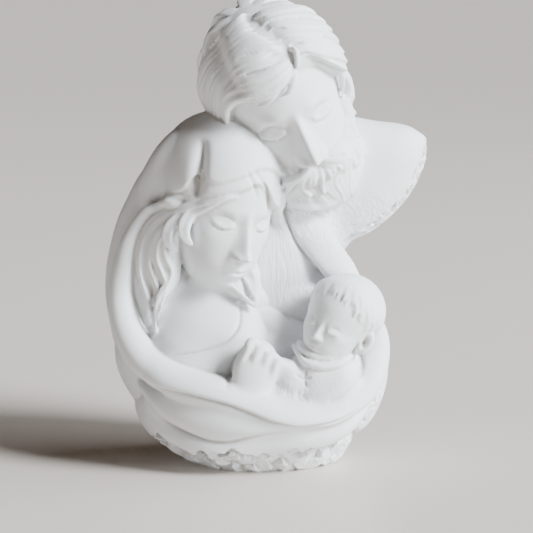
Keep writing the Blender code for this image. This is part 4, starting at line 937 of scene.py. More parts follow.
@dataclass
class Woman:
    """The woman: a veiled head turned to the infant, wavy hair, a neck and a breast.

    Args:
        height: The head's height, in metres.
        lock_width: A lock of hair's width, in metres.
    """

    height: float = 0.086
    lock_width: float = 0.0085

    FACE = FaceSizes(
        eye_x=0.138, eye_z=0.000, eye_w=0.066, eye_h=0.038, nose_z=-0.200, mouth_z=-0.300, nose=0.100,
        nostril=0.062, mouth_w=0.086, lips=0.017, cheek=0.006, jaw=0.000, chin=0.034, brow=0.010,
        socket=0.036, lid=0.028, ear_lat=-10.0,
    )
    BAND = (
        (-180, -40), (-150, -30), (-100, -14), (-76, -2), (-60, 4), (-45, 17), (-30, 22), (-13, 28), (5, 34),
        (16, 26), (26, 18), (60, 6), (100, -10), (180, -40),
    )
    VEIL = (
        (-180, -30), (-110, -4), (-70, 14), (-54, 32), (-38, 29), (-20, 35), (-4, 41), (10, 44), (30, 40),
        (60, 20), (110, 0), (180, -30),
    )
    FALLS = (
        ((-11.8, -47, 151), (-20.5, -49.5, 149), (-29.3, -47, 146), (-36, -43.5, 143.5), (-43, -40.5, 141),
         (-50, -36, 138.5), (-57, -32, 135), (-62.5, -29, 128), (-66, -28, 118), (-66.5, -28, 107), (-63.5, -29, 96),
         (-60, -31, 85), (-58.5, -32, 74), (-57.5, -31, 65)),
        ((-14, -48, 148.5), (-22, -49, 147), (-29.5, -46.5, 143.5), (-36, -43, 140.8), (-43, -41, 138),
         (-50, -37.5, 135), (-56.5, -33.5, 130), (-60.8, -31, 122), (-61.5, -30.5, 112), (-59, -31, 103),
         (-56, -32, 95), (-58.5, -33, 84), (-57.5, -33, 74)),
        ((-24, -48, 145.5), (-31, -45.5, 142), (-38, -42.5, 138.8), (-45.5, -40.5, 135), (-51.5, -37.5, 130),
         (-56.5, -34, 123), (-57.5, -33, 114.5), (-54.5, -33, 106), (-52.5, -33.5, 98.5), (-55, -34, 90),
         (-57, -34, 80)),
        ((-44, -39.5, 134.5), (-50, -36.5, 129), (-53.8, -34.5, 122), (-53, -33.5, 114.5), (-50, -33, 107.5),
         (-52.5, -33.5, 100), (-57, -34, 92.5), (-59, -33, 84)),
        ((-46, -36, 132), (-52, -33, 126), (-57, -31, 118), (-58, -30.5, 108), (-57, -30.5, 98), (-61, -31, 88)),
        ((-49, -33, 124), (-52, -32, 116), (-49.5, -31, 108), (-50, -31, 100), (-53.5, -32, 93)),
    )
    HOOKS = (
        ((-31.5, -43.5, 144), (-36.5, -42.5, 140.5), (-40.8, -42.5, 136), (-42.6, -43, 131), (-41.5, -42.5, 126),
         (-38.0, -40.5, 121.5)),
        ((-39, -41, 140.5), (-44.5, -40.5, 136.5), (-49, -39.5, 132.5), (-51, -39, 127), (-49.8, -38, 121.8),
         (-45.8, -36, 118)),
    )
    CHIN_LOCKS = (
        ((-12, -16, 122), (-8.5, -22, 112), (-5.5, -28, 103), (-4.2, -31, 95), (-5, -34, 87)),
        ((-17, -18, 116), (-12, -25, 106), (-8.5, -30, 99), (-6, -32.5, 93), (-5, -34, 87.2)),
        ((-26, -24, 104), (-20, -30, 99), (-14, -32.5, 94.5), (-9, -33.5, 91), (-5.2, -34, 87.3)),
    )

    def add_to(self, clay: Clay) -> None:
        """Adds the whole woman to the clay."""
        head = Head(self.height, (-26.0, -14.0, 141.0), (12, 30, 8), ADULT_SKULL, self.FACE)
        head.add_face(clay)
        head.add_cap(clay, self.BAND, 0.038, bare=-0.04, edge=2.5)
        head.add_cap(clay, self.VEIL, 0.062, bare=-0.04, edge=2.5)
        clay.strand(
            [(-18, -22, 172, 7, 6), (-8, -24, 168.5, 8, 6), (-1, -26, 162, 7.5, 6), (3.2, -26, 153, 6, 6),
             (4.6, -24, 144, 5, 5.5), (6, -19, 134, 4.5, 5), (8, -14, 124, 3, 4)],
            (-26, 10, 140),
            lobes=2,
            groove=0.12,
        )
        clay.strand(
            [(-12, -28, 169, 3, 3), (-6.5, -33, 162, 3.4, 3.4), (-2.2, -35, 154, 3.2, 3.4), (-0.2, -34, 145, 2.8, 3),
             (0.5, -31, 137, 2.2, 2.6)],
            (-26, 0, 140),
        )
        self.add_hair(clay)
        self.add_body(clay)

    def add_hair(self, clay: Clay) -> None:
        """Two hooked locks at the temple, the waves that fall to the breast and the lock behind the chin."""
        for rows in self.HOOKS:
            sized = [(*row, wide, wide * 0.75) for row, wide in zip(rows, (3.0, 3.6, 4.1, 4.1, 3.4, 2.2))]
            clay.strand(sized, (-34, 0, 128), lobes=4, groove=0.3, blunt=0.3)
        for k, rows in enumerate(self.FALLS):
            half = self.lock_width / PART * 0.46
            slim = 0.55 / len(rows)
            sized = [(*row, half * (1 - slim * j), half * 0.85 * (1 - slim * j)) for j, row in enumerate(rows)]
            clay.strand(sized, (-40, 10, 120), lobes=4, groove=0.42, blunt=0.4, rings=110, twist=0.3)
        for rows in (
            (
                (-48, -12, 150, 9, 10), (-60, -15, 128, 10, 11), (-63, -16, 104, 10, 11),
                (-60, -19, 84, 9, 10), (-58, -23, 66, 6, 7),
            ),
            (
                (-44, -30, 140, 6, 6), (-49, -30, 130, 7, 6), (-52, -27, 118, 7, 7),
                (-52, -26, 104, 7, 7), (-55, -26, 88, 6, 6),
            ),
            (
                (-48, -33, 141, 6, 5), (-57, -27, 132, 7, 6), (-62, -24, 118, 7, 7),
                (-61, -24, 103, 6, 7), (-59, -27, 88, 4, 5),
            ),
            (
                (-39, -37, 143.5, 3, 3.4), (-46.5, -36.8, 142.8, 3, 3.6), (-52, -34.5, 143.8, 3, 3.6),
                (-58, -30.5, 142, 3, 4),
            ),
            ((-16, -13, 118, 8, 7), (-12, -19, 107, 8, 6), (-9, -25, 98, 6, 5.5), (-6.5, -29, 91, 3, 3.5)),
            ((-25, -18, 106, 6, 6), (-16, -25, 98, 6, 6), (-9, -28, 91.5, 4, 4)),
        ):
            clay.strand(list(rows), (-35, 30, 110))
        for rows in self.CHIN_LOCKS:
            sized = [(*row, 3.9 * (1 - 0.16 * j), 3.4 * (1 - 0.16 * j)) for j, row in enumerate(rows)]
            clay.strand(sized, (-20, 10, 100), lobes=4, groove=0.38, blunt=0.4)

    def add_body(self, clay: Clay) -> None:
        """The neck, the breast and the shoulder that runs down to the infant."""
        clay.strand(
            [(-31, -8, 120, 14, 14), (-31, -11, 104, 13.5, 14), (-30, -13, 90, 19, 16), (-28, -13, 74, 32, 22),
             (-28, -12, 60, 34, 24)],
            (-30, 60, 90),
            blunt=0.2,
        )
        clay.strand([(-38, -6, 116, 9, 11), (-46, -8, 101, 12, 13), (-56, -9, 84, 14, 15)], (-30, 60, 90), blunt=0.2)
        clay.strand([(-22, -8, 112, 8, 11), (-14, -11, 97, 11, 13), (-2, -14, 82, 12, 14)], (-30, 60, 90), blunt=0.2)
        breast = [(0, 38), (45, 36), (90, 34), (135, 38), (180, 44), (225, 40), (270, 34), (315, 38)]
        clay.cushion((-27, -6, 63), breast, 37, 30, plump=0.72)
        arm = [(-22, -14, 86, 10, 10), (-4, -19, 79, 10, 10), (12, -24, 67, 9, 9), (26, -26, 52, 9, 9)]
        clay.strand(arm, (0, 20, 60))


@dataclass
class Mantle:
    """The mantle: a shell behind and to the left of the group, its hem and the folds that cradle it.

    Args:
        hem_width: The hem roll's width, in metres.
        back_folds: How many broad folds run down the back.
    """

    hem_width: float = 0.016
    back_folds: int = 7

    BACK = (
        (0, 56), (14, 46), (27, 41), (40, 49), (54, 62), (70, 78), (90, 95), (107, 101), (116, 102.5), (124, 100),
        (135, 93.5), (148, 88), (163, 85.3), (180, 84.5), (200, 85), (210, 85.5), (221, 86.5), (232, 84),
        (250, 74), (270, 66), (300, 60), (330, 60),
    )
    BOWL = (
        (0, 74), (16, 64), (40, 40), (90, 34), (140, 52), (162, 72), (180, 74), (200, 68), (225, 60), (270, 46),
        (300, 52), (315, 62), (326, 72), (341, 74.5),
    )
    HEM = (
        (-37, -40, 147.5, 0.45, 4), (-46, -36, 146, 0.5, 5), (-54, -31, 143, 0.5, 5.5), (-61, -26, 137.5, 0.6, 6),
        (-67, -23, 129.5, 0.65, 6),
        (-71.5, -22, 120.5, 0.75, 6.5), (-74.5, -21, 110, 0.9, 7), (-77, -21, 94, 0.95, 7.5),
        (-74, -25, 77, 1.0, 8.5), (-64, -33, 61, 1.05, 9.5), (-47, -42, 51, 1.05, 10), (-28, -48, 46, 1.0, 10),
        (-8, -51, 41, 0.85, 10), (12, -52, 36, 0.75, 10), (32, -47, 35.5, 0.75, 10), (48, -36, 44, 1.1, 11),
        (56, -26, 57, 1.2, 11), (58, -17, 71, 0.95, 10), (54, -8, 82, 0.5, 8),
    )

    def add_to(self, clay: Clay) -> None:
        """Adds the mantle to the clay."""
        clay.cushion((-2, 10, 88), self.BACK, 30, 40, plump=0.75)
        clay.cushion((-8, 2, 56), self.BOWL, 38, 46, plump=0.7)
        half = self.hem_width / PART / 2
        clay.strand([(x, y, z, half * w, t) for x, y, z, w, t in self.HEM], (0, 30, 90), blunt=0.2, rings=110)
        clay.strand(
            [(-68, -18, 49, 4, 6), (-60, -28, 41, 8, 8), (-44, -39, 35, 10, 9), (-27, -46, 32, 11, 9),
             (-8, -49, 30, 10, 9), (10, -50, 30, 8, 8), (28, -46, 31, 7, 7), (44, -38, 36, 5, 6)],
            (-5, 10, 60),
            rings=90,
        )
        clay.strand(
            [(-66, -4, 46, 8, 10), (-58, -18, 31, 9.5, 10), (-45, -32, 22, 10, 10), (-26, -41, 18, 11, 10),
             (0, -44, 21, 11, 9), (22, -43, 23, 11, 9), (38, -36, 27, 10.5, 9), (49, -22, 34, 10, 8.5),
             (56, -8, 46, 10, 8)],
            (-5, 30, 60),
            rings=90,
        )
        clay.strand(
            [(-26, -6, 166, 14, 17), (-40, -6, 162, 13, 18), (-52, -6, 151, 12, 18), (-60, -5, 137, 11, 17),
             (-67, -4, 120, 10, 16), (-71, -4, 98, 10, 16), (-69, -8, 76, 10, 16), (-62, -14, 56, 10, 16),
             (-53, -18, 40, 12, 14)],
            (0, 20, 90),
            blunt=0.25,
            rings=90,
        )
        clay.strand(
            [(-34, -12, 177, 9, 12), (-45, -15, 169, 11, 13), (-52, -15, 158, 11.5, 13), (-56, -14, 146, 11, 12),
             (-60, -13, 134, 10, 11)],
            (-30, 20, 130),
            blunt=0.2,
        )
        clay.ball((-38, -10, 162), (17, 20, 20))
        clay.ball((-6, -16, 36), (61, 38, 25))
        self.add_back_folds(clay)

    def back_at(self, x: float, z: float) -> float:
        """How far back the mantle reaches, in parts, at a place seen from behind."""
        deepest = 0.0
        for centre, outline, back, plump in (((-2, 10, 88), self.BACK, 40, 0.75), ((-8, 2, 56), self.BOWL, 46, 0.7)):
            across, up = x - centre[0], z - centre[2]
            angle = math.degrees(math.atan2(up, across)) % 360.0
            radius = float(np.interp(angle, [row[0] for row in outline], [row[1] for row in outline], period=360.0))
            share = min(math.hypot(across, up) / radius, 1.0)
            deepest = max(deepest, centre[1] + back * math.sqrt(1.0 - share ** (2.0 / plump)))
        return deepest

    def add_back_folds(self, clay: Clay) -> None:
        """Broad folds that fan out down the back."""
        for k in range(self.back_folds):
            t = (k - 3) / 3
            rows = []
            for x, z, wide, thick in (
                (-22 + 20 * t, 158 - 14 * abs(t), 4, 4), (-16 + 34 * t, 128, 6, 6), (-10 + 44 * t, 92, 7.5, 7),
                (-8 + 48 * t, 58, 8, 7.5), (-6 + 42 * t, 28, 7, 6),
            ):
                rows.append((x, self.back_at(x, z) - 0.45 * thick, z, wide, thick))
            clay.strand(rows, (-8, -20, 90), rings=90)


@dataclass
class Child:
    """The infant: a round head with an ear, a collar ring, a wrapped body and a small sleeve.

    Args:
        height: The head's height, in metres.
    """

    height: float = 0.047

    FACE = FaceSizes(
        eye_x=0.150, eye_z=-0.070, eye_w=0.070, eye_h=0.042, nose_z=-0.215, mouth_z=-0.310, nose=0.074,
        nostril=0.062, mouth_w=0.076, lips=0.030, cheek=0.030, jaw=0.010, chin=0.026, brow=0.002,
        socket=0.034, lid=0.046, ear_lat=-16.0, line=1.7,
    )
    HAIRLINE = (
        (-180, -30), (-100, -10), (-60, 22), (-30, 34), (0, 42), (30, 36), (60, 14), (82, 4), (100, 0),
        (120, -20), (180, -30),
    )

    COLLAR_RINGS = (
        ((14, -34, 69), (16.4, -42, 66), (18.4, -47, 63), (22.5, -50, 61.4), (28, -51, 60.3), (34.5, -50, 60.9),
         (40.5, -47, 62.6), (45, -41, 65), (47, -34, 67)),
        ((17, -36, 71), (19, -43, 68.5), (23, -47.5, 66), (28.5, -48.5, 65), (34.5, -47.5, 65.4), (40, -44, 67)),
    )

    def add_hair(self, clay: Clay, head: Head) -> None:
        """Soft flat locks from the crown to the hairline, and small tufts over the forehead."""
        even = curve_through([(*row, 0.0) for row in self.HAIRLINE], 200)
        for k in range(22):
            lon = -72 + 168 * k / 21
            limit = float(np.interp(lon, even[:, 0], even[:, 1]))
            turn = 10 if k % 2 else -6
            rows = [
                (lon * 0.55 + 8, 84, 0.012), (lon * 0.85 + 5, 0.45 * limit + 44, 0.024 + 0.006 * (k % 2)),
                (lon, limit + 14, 0.026 + 0.006 * (k % 2)), (lon + 0.4 * turn, limit - 1 - 5 * (k % 3 == 0), 0.012),
            ]
            head.lock(clay, rows, 0.044, 0.016, 3, 0.4, sway=1.5, waves=1.0, phase=0.37 * k)
        fringe = ((-24, 40, -8), (-12, 44, 9), (0, 45, -9), (11, 44, 8), (22, 41, -8), (34, 36, 8), (46, 27, -6))
        for lon, lat, turn in fringe:
            rows = [(lon, lat + 9, 0.014), (lon + 0.7 * turn, lat + 2, 0.026), (lon + turn, lat - 6, 0.012)]
            head.lock(clay, rows, 0.034, 0.014, 2, 0.4)

    def add_to(self, clay: Clay) -> None:
        """Adds the infant to the clay."""
        head = Head(self.height, (39.5, -35.0, 82.5), (8, -30, 24), CHILD_SKULL, self.FACE)
        head.add_face(clay)
        head.add_ear(clay, 1, 0.15, lon=84.0)
        head.add_cap(clay, self.HAIRLINE, 0.016, bare=-0.02, edge=7.0)
        clay.ball((48, -18, 84), (12, 14, 14))
        clay.strand([(36, -32, 70, 10, 10), (33, -33, 58, 13, 12)], (34, 10, 64))
        for rows in self.COLLAR_RINGS:
            clay.strand([(*row, 1.9, 2.4) for row in rows], (31, -24, 66), blunt=0.2)
        self.add_hair(clay, head)
        body = [
            (0, 19.5), (40, 21), (65, 17), (90, 15), (115, 17),
            (140, 21), (180, 19), (215, 19), (250, 20), (300, 17),
        ]
        clay.cushion((31, -31, 50), body, 21, 16, plump=0.6)
        wrap = [(4, -42, 62, 5, 6), (10, -45, 57, 7, 6.5), (14, -46, 51, 8, 6.5), (18, -46, 44, 8, 6)]
        clay.strand(wrap, (15, 0, 50), blunt=0.3)


@dataclass
class Hand:
    """The woman's hand round the infant, seen from its back, with four bent fingers.

    Args:
        length: Its length, in metres.
    """

    length: float = 0.030

    WRIST = (-12.0, -47.0, 42.0)

    def at(self, x: float, y: float, z: float) -> Row:
        """A place on the hand, in parts of the group."""
        unit = self.length / PART / 30
        return tuple(np.array(self.WRIST) + unit * np.array([x, y, z]))

    def add_to(self, clay: Clay) -> None:
        """Adds the hand to the clay."""
        unit = self.length / PART / 30
        clay.ball(self.at(6, -2, 16), (12 * unit, 6.5 * unit, 16 * unit), turned(-8, 0, 14))
        clay.strand([(*self.at(-3, 5, -8), 9, 8), (*self.at(1, 0, 4), 10, 8)], (-5, 0, 50))
        for k in range(4):
            x, y, z = 3.0 + 4.6 * k, -5.6 + 0.5 * k, 30.5 - 3.6 * k
            rows = [
                (x - 5, y + 1.5, z - 12), (x - 1, y - 0.4, z - 3), (x + 1.5, y + 0.8, z + 0.5), (x + 5, y + 3, z - 2),
                (x + 8, y + 7, z - 6),
            ]
            clay.strand([(*self.at(*row), 2.7 * unit, 3.2 * unit) for row in rows], (-5, 0, 50), blunt=0.3)


@dataclass
class Foot:
    """The rough foot: a bowl that is cut flat at the ground.

    Args:
        width: The underside's width, in metres.
        depth: The underside's depth, in metres.
    """

    width: float = 0.082
    depth: float = 0.068

    def add_to(self, clay: Clay) -> None:
        """Adds the foot to the clay, leaning out to the left as it rises."""
        high, lean = 24.0, 0.42
        spread = 1.0 / math.sqrt(1.0 - (high / 34.0) ** 2)
        ball, points = clay.stock.take(48, 32)
        points = points * (self.width / PART / 2 * spread, self.depth / PART / 2 * spread, 34.0) + (-2.0, 0, high)
        points[:, 0] -= lean * points[:, 2]
        clay.add(ball, points)


@dataclass
class Carving:
    """The work on the fused skin: creases, collars, hair grooves, the broken shoulder and the hewn foot.

    Args:
        seed: Where the chance starts.
        blow: How far apart the blows on the foot fall, in parts.
    """

    seed: int = 12
    blow: float = 5.8

    CREASE = (
        (-66, -28, 52), (-55, -44, 48.3), (-40, -50, 45.8), (-21, -55, 41.5), (-8, -58, 37), (3, -58, 32.8),
        (18, -57, 29.7), (36, -50, 31.7), (46, -42, 36),
    )
    LOWER_FOLD = (
        (-68, -24, 43.7), (-54, -36, 29.8), (-35, -46, 21.8),
        (-21, -50, 20.5), (-6, -52, 24.3), (10, -53, 27),
    )
    COLLAR = ((-15, -34, 94), (-13.8, -38, 87), (-14.8, -44, 78.5), (-22, -47, 71), (-34.5, -46, 66.5), (-50, -41, 64))
    VEIL_CREASE = ((-32.5, -24, 177), (-33.6, -30, 167), (-35.2, -36, 157), (-36.8, -38, 147))
    BAND_EDGE = (
        (6.6, -10, 149), (8.8, -12, 140), (11.9, -14, 130.7),
        (16.7, -16, 119.8), (24.1, -18, 110), (32.6, -18, 101),
    )
    ROLL_GROOVES = (
        ((-9.6, -28, 168), (-4.9, -33, 160.3), (-0.3, -35, 152.1), (1.3, -34, 142.6), (2, -30, 134)),
        ((-13, -27, 169), (-9.5, -33, 161), (-6.0, -37, 153), (-4.6, -37, 146)),
    )
    HAIR_GROOVE = ((-27, -20, 231), (-24.5, -38, 218), (-20.5, -45, 209), (-15.5, -49, 202), (-13, -50, 197))
    NECKLINE = (
        (7, -12, 153), (11.4, -16, 143.5), (16.6, -17, 141),
        (22.4, -17, 140), (29.3, -16, 140.3), (37, -13, 142.5),
    )
    NECKLINE_GROOVE = ((9, -16, 141.5), (16.6, -17, 137.6), (22.4, -17, 136.6), (29.3, -16, 137), (36, -14, 138.6))
    ROBE = ((-2, -6, 132), (4, -8, 120), (7, -10, 108), (12, -12, 98), (20, -16, 88))
    BROKEN = (
        (84, 12, 167), (88, 8, 160), (85, 4, 153), (82, 6, 147), (78, 4, 141), (73, 4, 134), (67, 2, 129),
        (60, 2, 124), (54, 0, 120), (48, 0, 116), (43, -2, 111), (40, 0, 104),
    )
    RIM = ((66, -10, 56), (64, -14, 47), (62, -10, 38), (58, -16, 30), (55, -16, 24))

    def work(self, skin: Surface) -> None:
        """Does all the carving in order."""
        rng = np.random.default_rng(self.seed)
        for centre, radii, passes in (
            ((0, -40, 34), (85, 40, 24), 14),
            ((-32, -22, 82), (27, 30, 23), 44),
            ((24, -10, 126), (26, 24, 30), 10),
            ((-58, -2, 155), (26, 26, 34), 14),
            ((-56, -22, 158), (13, 20, 24), 44),
            ((70, 4, 160), (34, 34, 34), 8),
            ((12, -46, 54), (11, 14, 13), 10),
        ):
            skin.relax(centre, radii, passes)
        skin.refresh()
        self.cut_cloth(skin)
        self.cut_child(skin)
        skin.refresh()
        self.hew(skin, rng)
        skin.refresh()
        self.mark_grain(skin)
        # the hollow mask places the painted shade in the recesses
        skin.hollows(10)
        skin.done()

    def cut_cloth(self, skin: Surface) -> None:
        """The two creases of the mantle, the veil's crease, the collars and the edge of the hand."""
        skin.stroke(self.CREASE, 1.0, -2.6)
        skin.stroke(self.CREASE, 9.0, 1.8, Cut.STEP)
        skin.stroke(self.LOWER_FOLD, 1.4, -2.2)
        skin.stroke(self.LOWER_FOLD, 8.0, 1.4, Cut.STEP)
        skin.stroke(self.COLLAR, 0.8, -1.3)
        skin.stroke(self.NECKLINE, 1.8, 2.4)
        skin.stroke(self.NECKLINE_GROOVE, 1.0, -1.2)
        skin.stroke(self.HAIR_GROOVE, 4.2, -2.6, depth=24)
        skin.stroke(self.BAND_EDGE, 7.0, 1.8, Cut.STEP)
        skin.stroke(self.BAND_EDGE, 1.3, -1.6)
        skin.stroke(self.VEIL_CREASE, 3.4, -5.0, depth=26)
        skin.stroke(self.VEIL_CREASE, 1.5, -2.0, depth=26)
        for path in self.ROLL_GROOVES:
            skin.stroke(path, 0.9, -1.5)
        skin.stroke([(-21, -48, 49), (-18.5, -50, 58), (-15, -49, 66), (-10, -48, 72)], 1.6, -1.1)

    def cut_child(self, skin: Surface) -> None:
        """The small creases of the infant's wrap."""
        for path in (
            ((15, -52, 56), (19.5, -53, 53)), ((20.5, -53, 57.5), (19.5, -53, 53)),
            ((23.5, -52, 54.5), (19.5, -53, 53)), ((20.5, -53, 49), (19.5, -53, 53)),
        ):
            skin.stroke(path, 0.7, -0.8)
        skin.stroke([(49, -38, 66), (50.5, -38, 58), (47, -42, 50), (40, -46, 44), (32, -50, 41)], 1.1, -2.0)

    def cloth_edge(self, points: np.ndarray) -> np.ndarray:
        """How high the ragged edge of the cloth hangs over the hewn foot, at each point."""
        turn = np.arctan2(points[:, 1], points[:, 0] - 3.0)
        front = smooth(0.2, -0.6, np.sin(turn))
        ragged = 1.5 * np.sin(9.0 * turn + 0.6) + 1.2 * np.sin(23.0 * turn + 2.0) + 0.8 * np.sin(41.0 * turn)
        level = 15.5 + 2.0 * np.sin(2.0 * turn + 1.9)
        level += 2.5 * np.exp(-(((points[:, 0] - 46.0) / 12.0) ** 2)) * front
        return level + ragged

    def hew(self, skin: Surface, rng: np.random.Generator) -> None:
        """Flats off the foot all round, the shoulder's broken edge and the mantle's rough right rim."""
        p = skin.points
        edge = self.cloth_edge(p)
        foot = (p[:, 2] < edge) & (p[:, 2] > -8.0)
        under = smooth(6.5, 1.5, edge - p[:, 2])
        skin.facets(foot, self.blow, (0.5, 2.2), 0.36, rng, under, 3.2)
        skin.masks[Grain.HEWN] = foot * smooth(0.2, 1.2, p[:, 2])
        for path, wide, bites in ((self.BROKEN, 6.5, (0.4, 1.6)), (self.RIM, 4.0, (0.2, 1.2))):
            line = curve_through(path, 60)[:, :3]
            near = np.zeros(len(p), bool)
            for start in range(0, len(p), BATCH):
                some = p[start : start + BATCH]
                apart = ((some[:, None, :] - line[None, :, :]) ** 2).sum(2).min(1)
                near[start : start + BATCH] = apart < wide**2
            skin.facets(near, 0.5 * self.blow, bites, 0.30, rng)
            skin.masks[Grain.HEWN] = np.maximum(skin.masks[Grain.HEWN], 0.8 * near)

    def mark_grain(self, skin: Surface) -> None:
        """Where the cloth is combed and where it is pitted."""
        skin.mark(Grain.COMBED, self.ROBE, 9.5)
        skin.mark(Grain.COMBED, [(9, -49, 48), (14, -50, 45.5), (20, -51, 44)], 4.0, 0.9)
        skin.mark(Grain.PITTED, [(18, -50, 60), (30, -52, 54), (42, -46, 52)], 8.0, 0.35)
        skin.mark(Grain.PITTED, [(14, -10, 134), (26, -8, 129), (38, -6, 122), (44, -4, 112)], 9.0)
        skin.mark(Grain.PITTED, [(34, 0, 137), (46, 2, 134), (58, 6, 140)], 7.0, 0.7)


@dataclass
class GrainTree:
    """A node tree that raises the combed cloth and roughens the hewn foot along the skin's normals.

    Args:
        comb_height: How high the combed grain stands, in metres.
        comb_pitch: How many combed lines there are to a metre.
        pit_height: How deep the pits are, in metres.
        pit_pitch: How many pits there are to a metre.
        hewn_height: How high the hewn grain stands, in metres.
        hewn_pitch: How many hewn humps there are to a metre.
        seed: Where both patterns start.
    """

    comb_height: float = 0.0012
    comb_pitch: float = 560.0
    pit_height: float = 0.0011
    pit_pitch: float = 420.0
    hewn_height: float = 0.0011
    hewn_pitch: float = 260.0
    seed: int = 7

    def noise(self, tree: bpy.types.NodeTree, scale: tuple[float, float, float], pitch: str, detail: float) -> object:
        """A noise field centred on 0.

        Args:
            tree: The tree it stands in.
            scale: How the position is stretched before it.
            pitch: The input that sets its scale.
            detail: How many finer layers it has.

        Returns:
            Its output socket.
        """
        nodes, links = tree.nodes, tree.links
        place = nodes.new("GeometryNodeInputPosition")
        stretch = nodes.new("ShaderNodeVectorMath")
        stretch.operation = "MULTIPLY"
        stretch.inputs[1].default_value = scale
        pattern = nodes.new("ShaderNodeTexNoise")
        pattern.noise_dimensions = "4D"
        pattern.inputs["Detail"].default_value = detail
        pattern.inputs["Roughness"].default_value = 0.55
        centred = nodes.new("ShaderNodeMath")
        centred.operation = "SUBTRACT"
        centred.inputs[1].default_value = 0.5
        source = nodes["Inputs"]
        links.new(place.outputs[0], stretch.inputs[0])
        links.new(stretch.outputs[0], pattern.inputs["Vector"])
        links.new(source.outputs[pitch], pattern.inputs["Scale"])
        links.new(source.outputs["Seed"], pattern.inputs["W"])
        links.new(pattern.outputs[0], centred.inputs[0])
        return centred.outputs[0]

    def layer(self, tree: bpy.types.NodeTree, kind: Grain, field_out: object, height: str) -> bpy.types.NodeSocket:
        """One grain's height where the skin carries its mask."""
        nodes, links = tree.nodes, tree.links
        mask = nodes.new("GeometryNodeInputNamedAttribute")
        mask.data_type = "FLOAT"
        mask.inputs["Name"].default_value = kind.value
        masked = nodes.new("ShaderNodeMath")
        masked.operation = "MULTIPLY"
        raised = nodes.new("ShaderNodeMath")
        raised.operation = "MULTIPLY"
        links.new(field_out, masked.inputs[0])
        links.new(mask.outputs["Attribute"], masked.inputs[1])
        links.new(masked.outputs[0], raised.inputs[0])
        links.new(nodes["Inputs"].outputs[height], raised.inputs[1])
        return raised.outputs[0]

    def tree(self) -> bpy.types.NodeTree:
        """The node tree with its named inputs."""
        tree = bpy.data.node_groups.new("cast_grain", "GeometryNodeTree")
        face = tree.interface
        face.new_socket("Geometry", in_out="INPUT", socket_type="NodeSocketGeometry")
        for name in ("Comb Height", "Comb Pitch", "Pit Height", "Pit Pitch", "Hewn Height", "Hewn Pitch", "Seed"):
            face.new_socket(name, in_out="INPUT", socket_type="NodeSocketFloat")
        face.new_socket("Finish", in_out="INPUT", socket_type="NodeSocketMaterial")
        face.new_socket("Geometry", in_out="OUTPUT", socket_type="NodeSocketGeometry")
        nodes, links = tree.nodes, tree.links
        source = nodes.new("NodeGroupInput")
        source.name = "Inputs"
        target = nodes.new("NodeGroupOutput")
        combed = self.noise(tree, (1.0, 1.0, 0.22), "Comb Pitch", 2.0)
        pitted = self.noise(tree, (1.0, 1.0, 0.9), "Pit Pitch", 3.0)
        hewn = self.noise(tree, (1.0, 1.0, 0.55), "Hewn Pitch", 3.0)
        first = nodes.new("ShaderNodeMath")
        first.operation = "ADD"
        total = nodes.new("ShaderNodeMath")
        total.operation = "ADD"
        links.new(self.layer(tree, Grain.COMBED, combed, "Comb Height"), first.inputs[0])
        links.new(self.layer(tree, Grain.PITTED, pitted, "Pit Height"), first.inputs[1])
        links.new(first.outputs[0], total.inputs[0])
        links.new(self.layer(tree, Grain.HEWN, hewn, "Hewn Height"), total.inputs[1])
        normal = nodes.new("GeometryNodeInputNormal")
        lift = nodes.new("ShaderNodeVectorMath")
        lift.operation = "SCALE"
        moved = nodes.new("GeometryNodeSetPosition")
        real = nodes.new("GeometryNodeRealizeInstances")
        dress = nodes.new("GeometryNodeSetMaterial")
        links.new(normal.outputs[0], lift.inputs[0])
        links.new(total.outputs[0], lift.inputs["Scale"])
        links.new(source.outputs["Geometry"], moved.inputs["Geometry"])
        links.new(lift.outputs[0], moved.inputs["Offset"])
        links.new(moved.outputs[0], real.inputs[0])
        links.new(real.outputs[0], dress.inputs["Geometry"])
        links.new(source.outputs["Finish"], dress.inputs["Material"])
        links.new(dress.outputs[0], target.inputs[0])
        return tree

    def work(self, obj: bpy.types.Object, finish: bpy.types.Material) -> bpy.types.Object:
        """Runs the tree over the object and makes its result a plain mesh."""
        grain = obj.modifiers.new("Grain", "NODES")
        grain.node_group = self.tree()
        values = {
            "Comb Height": self.comb_height, "Comb Pitch": self.comb_pitch, "Pit Height": self.pit_height,
            "Pit Pitch": self.pit_pitch, "Hewn Height": self.hewn_height, "Hewn Pitch": self.hewn_pitch,
            "Seed": float(self.seed), "Finish": finish,
        }
        for item in grain.node_group.interface.items_tree:
            if item.in_out == "INPUT" and item.name in values:
                grain[item.identifier] = values[item.name]
        return applied(obj)


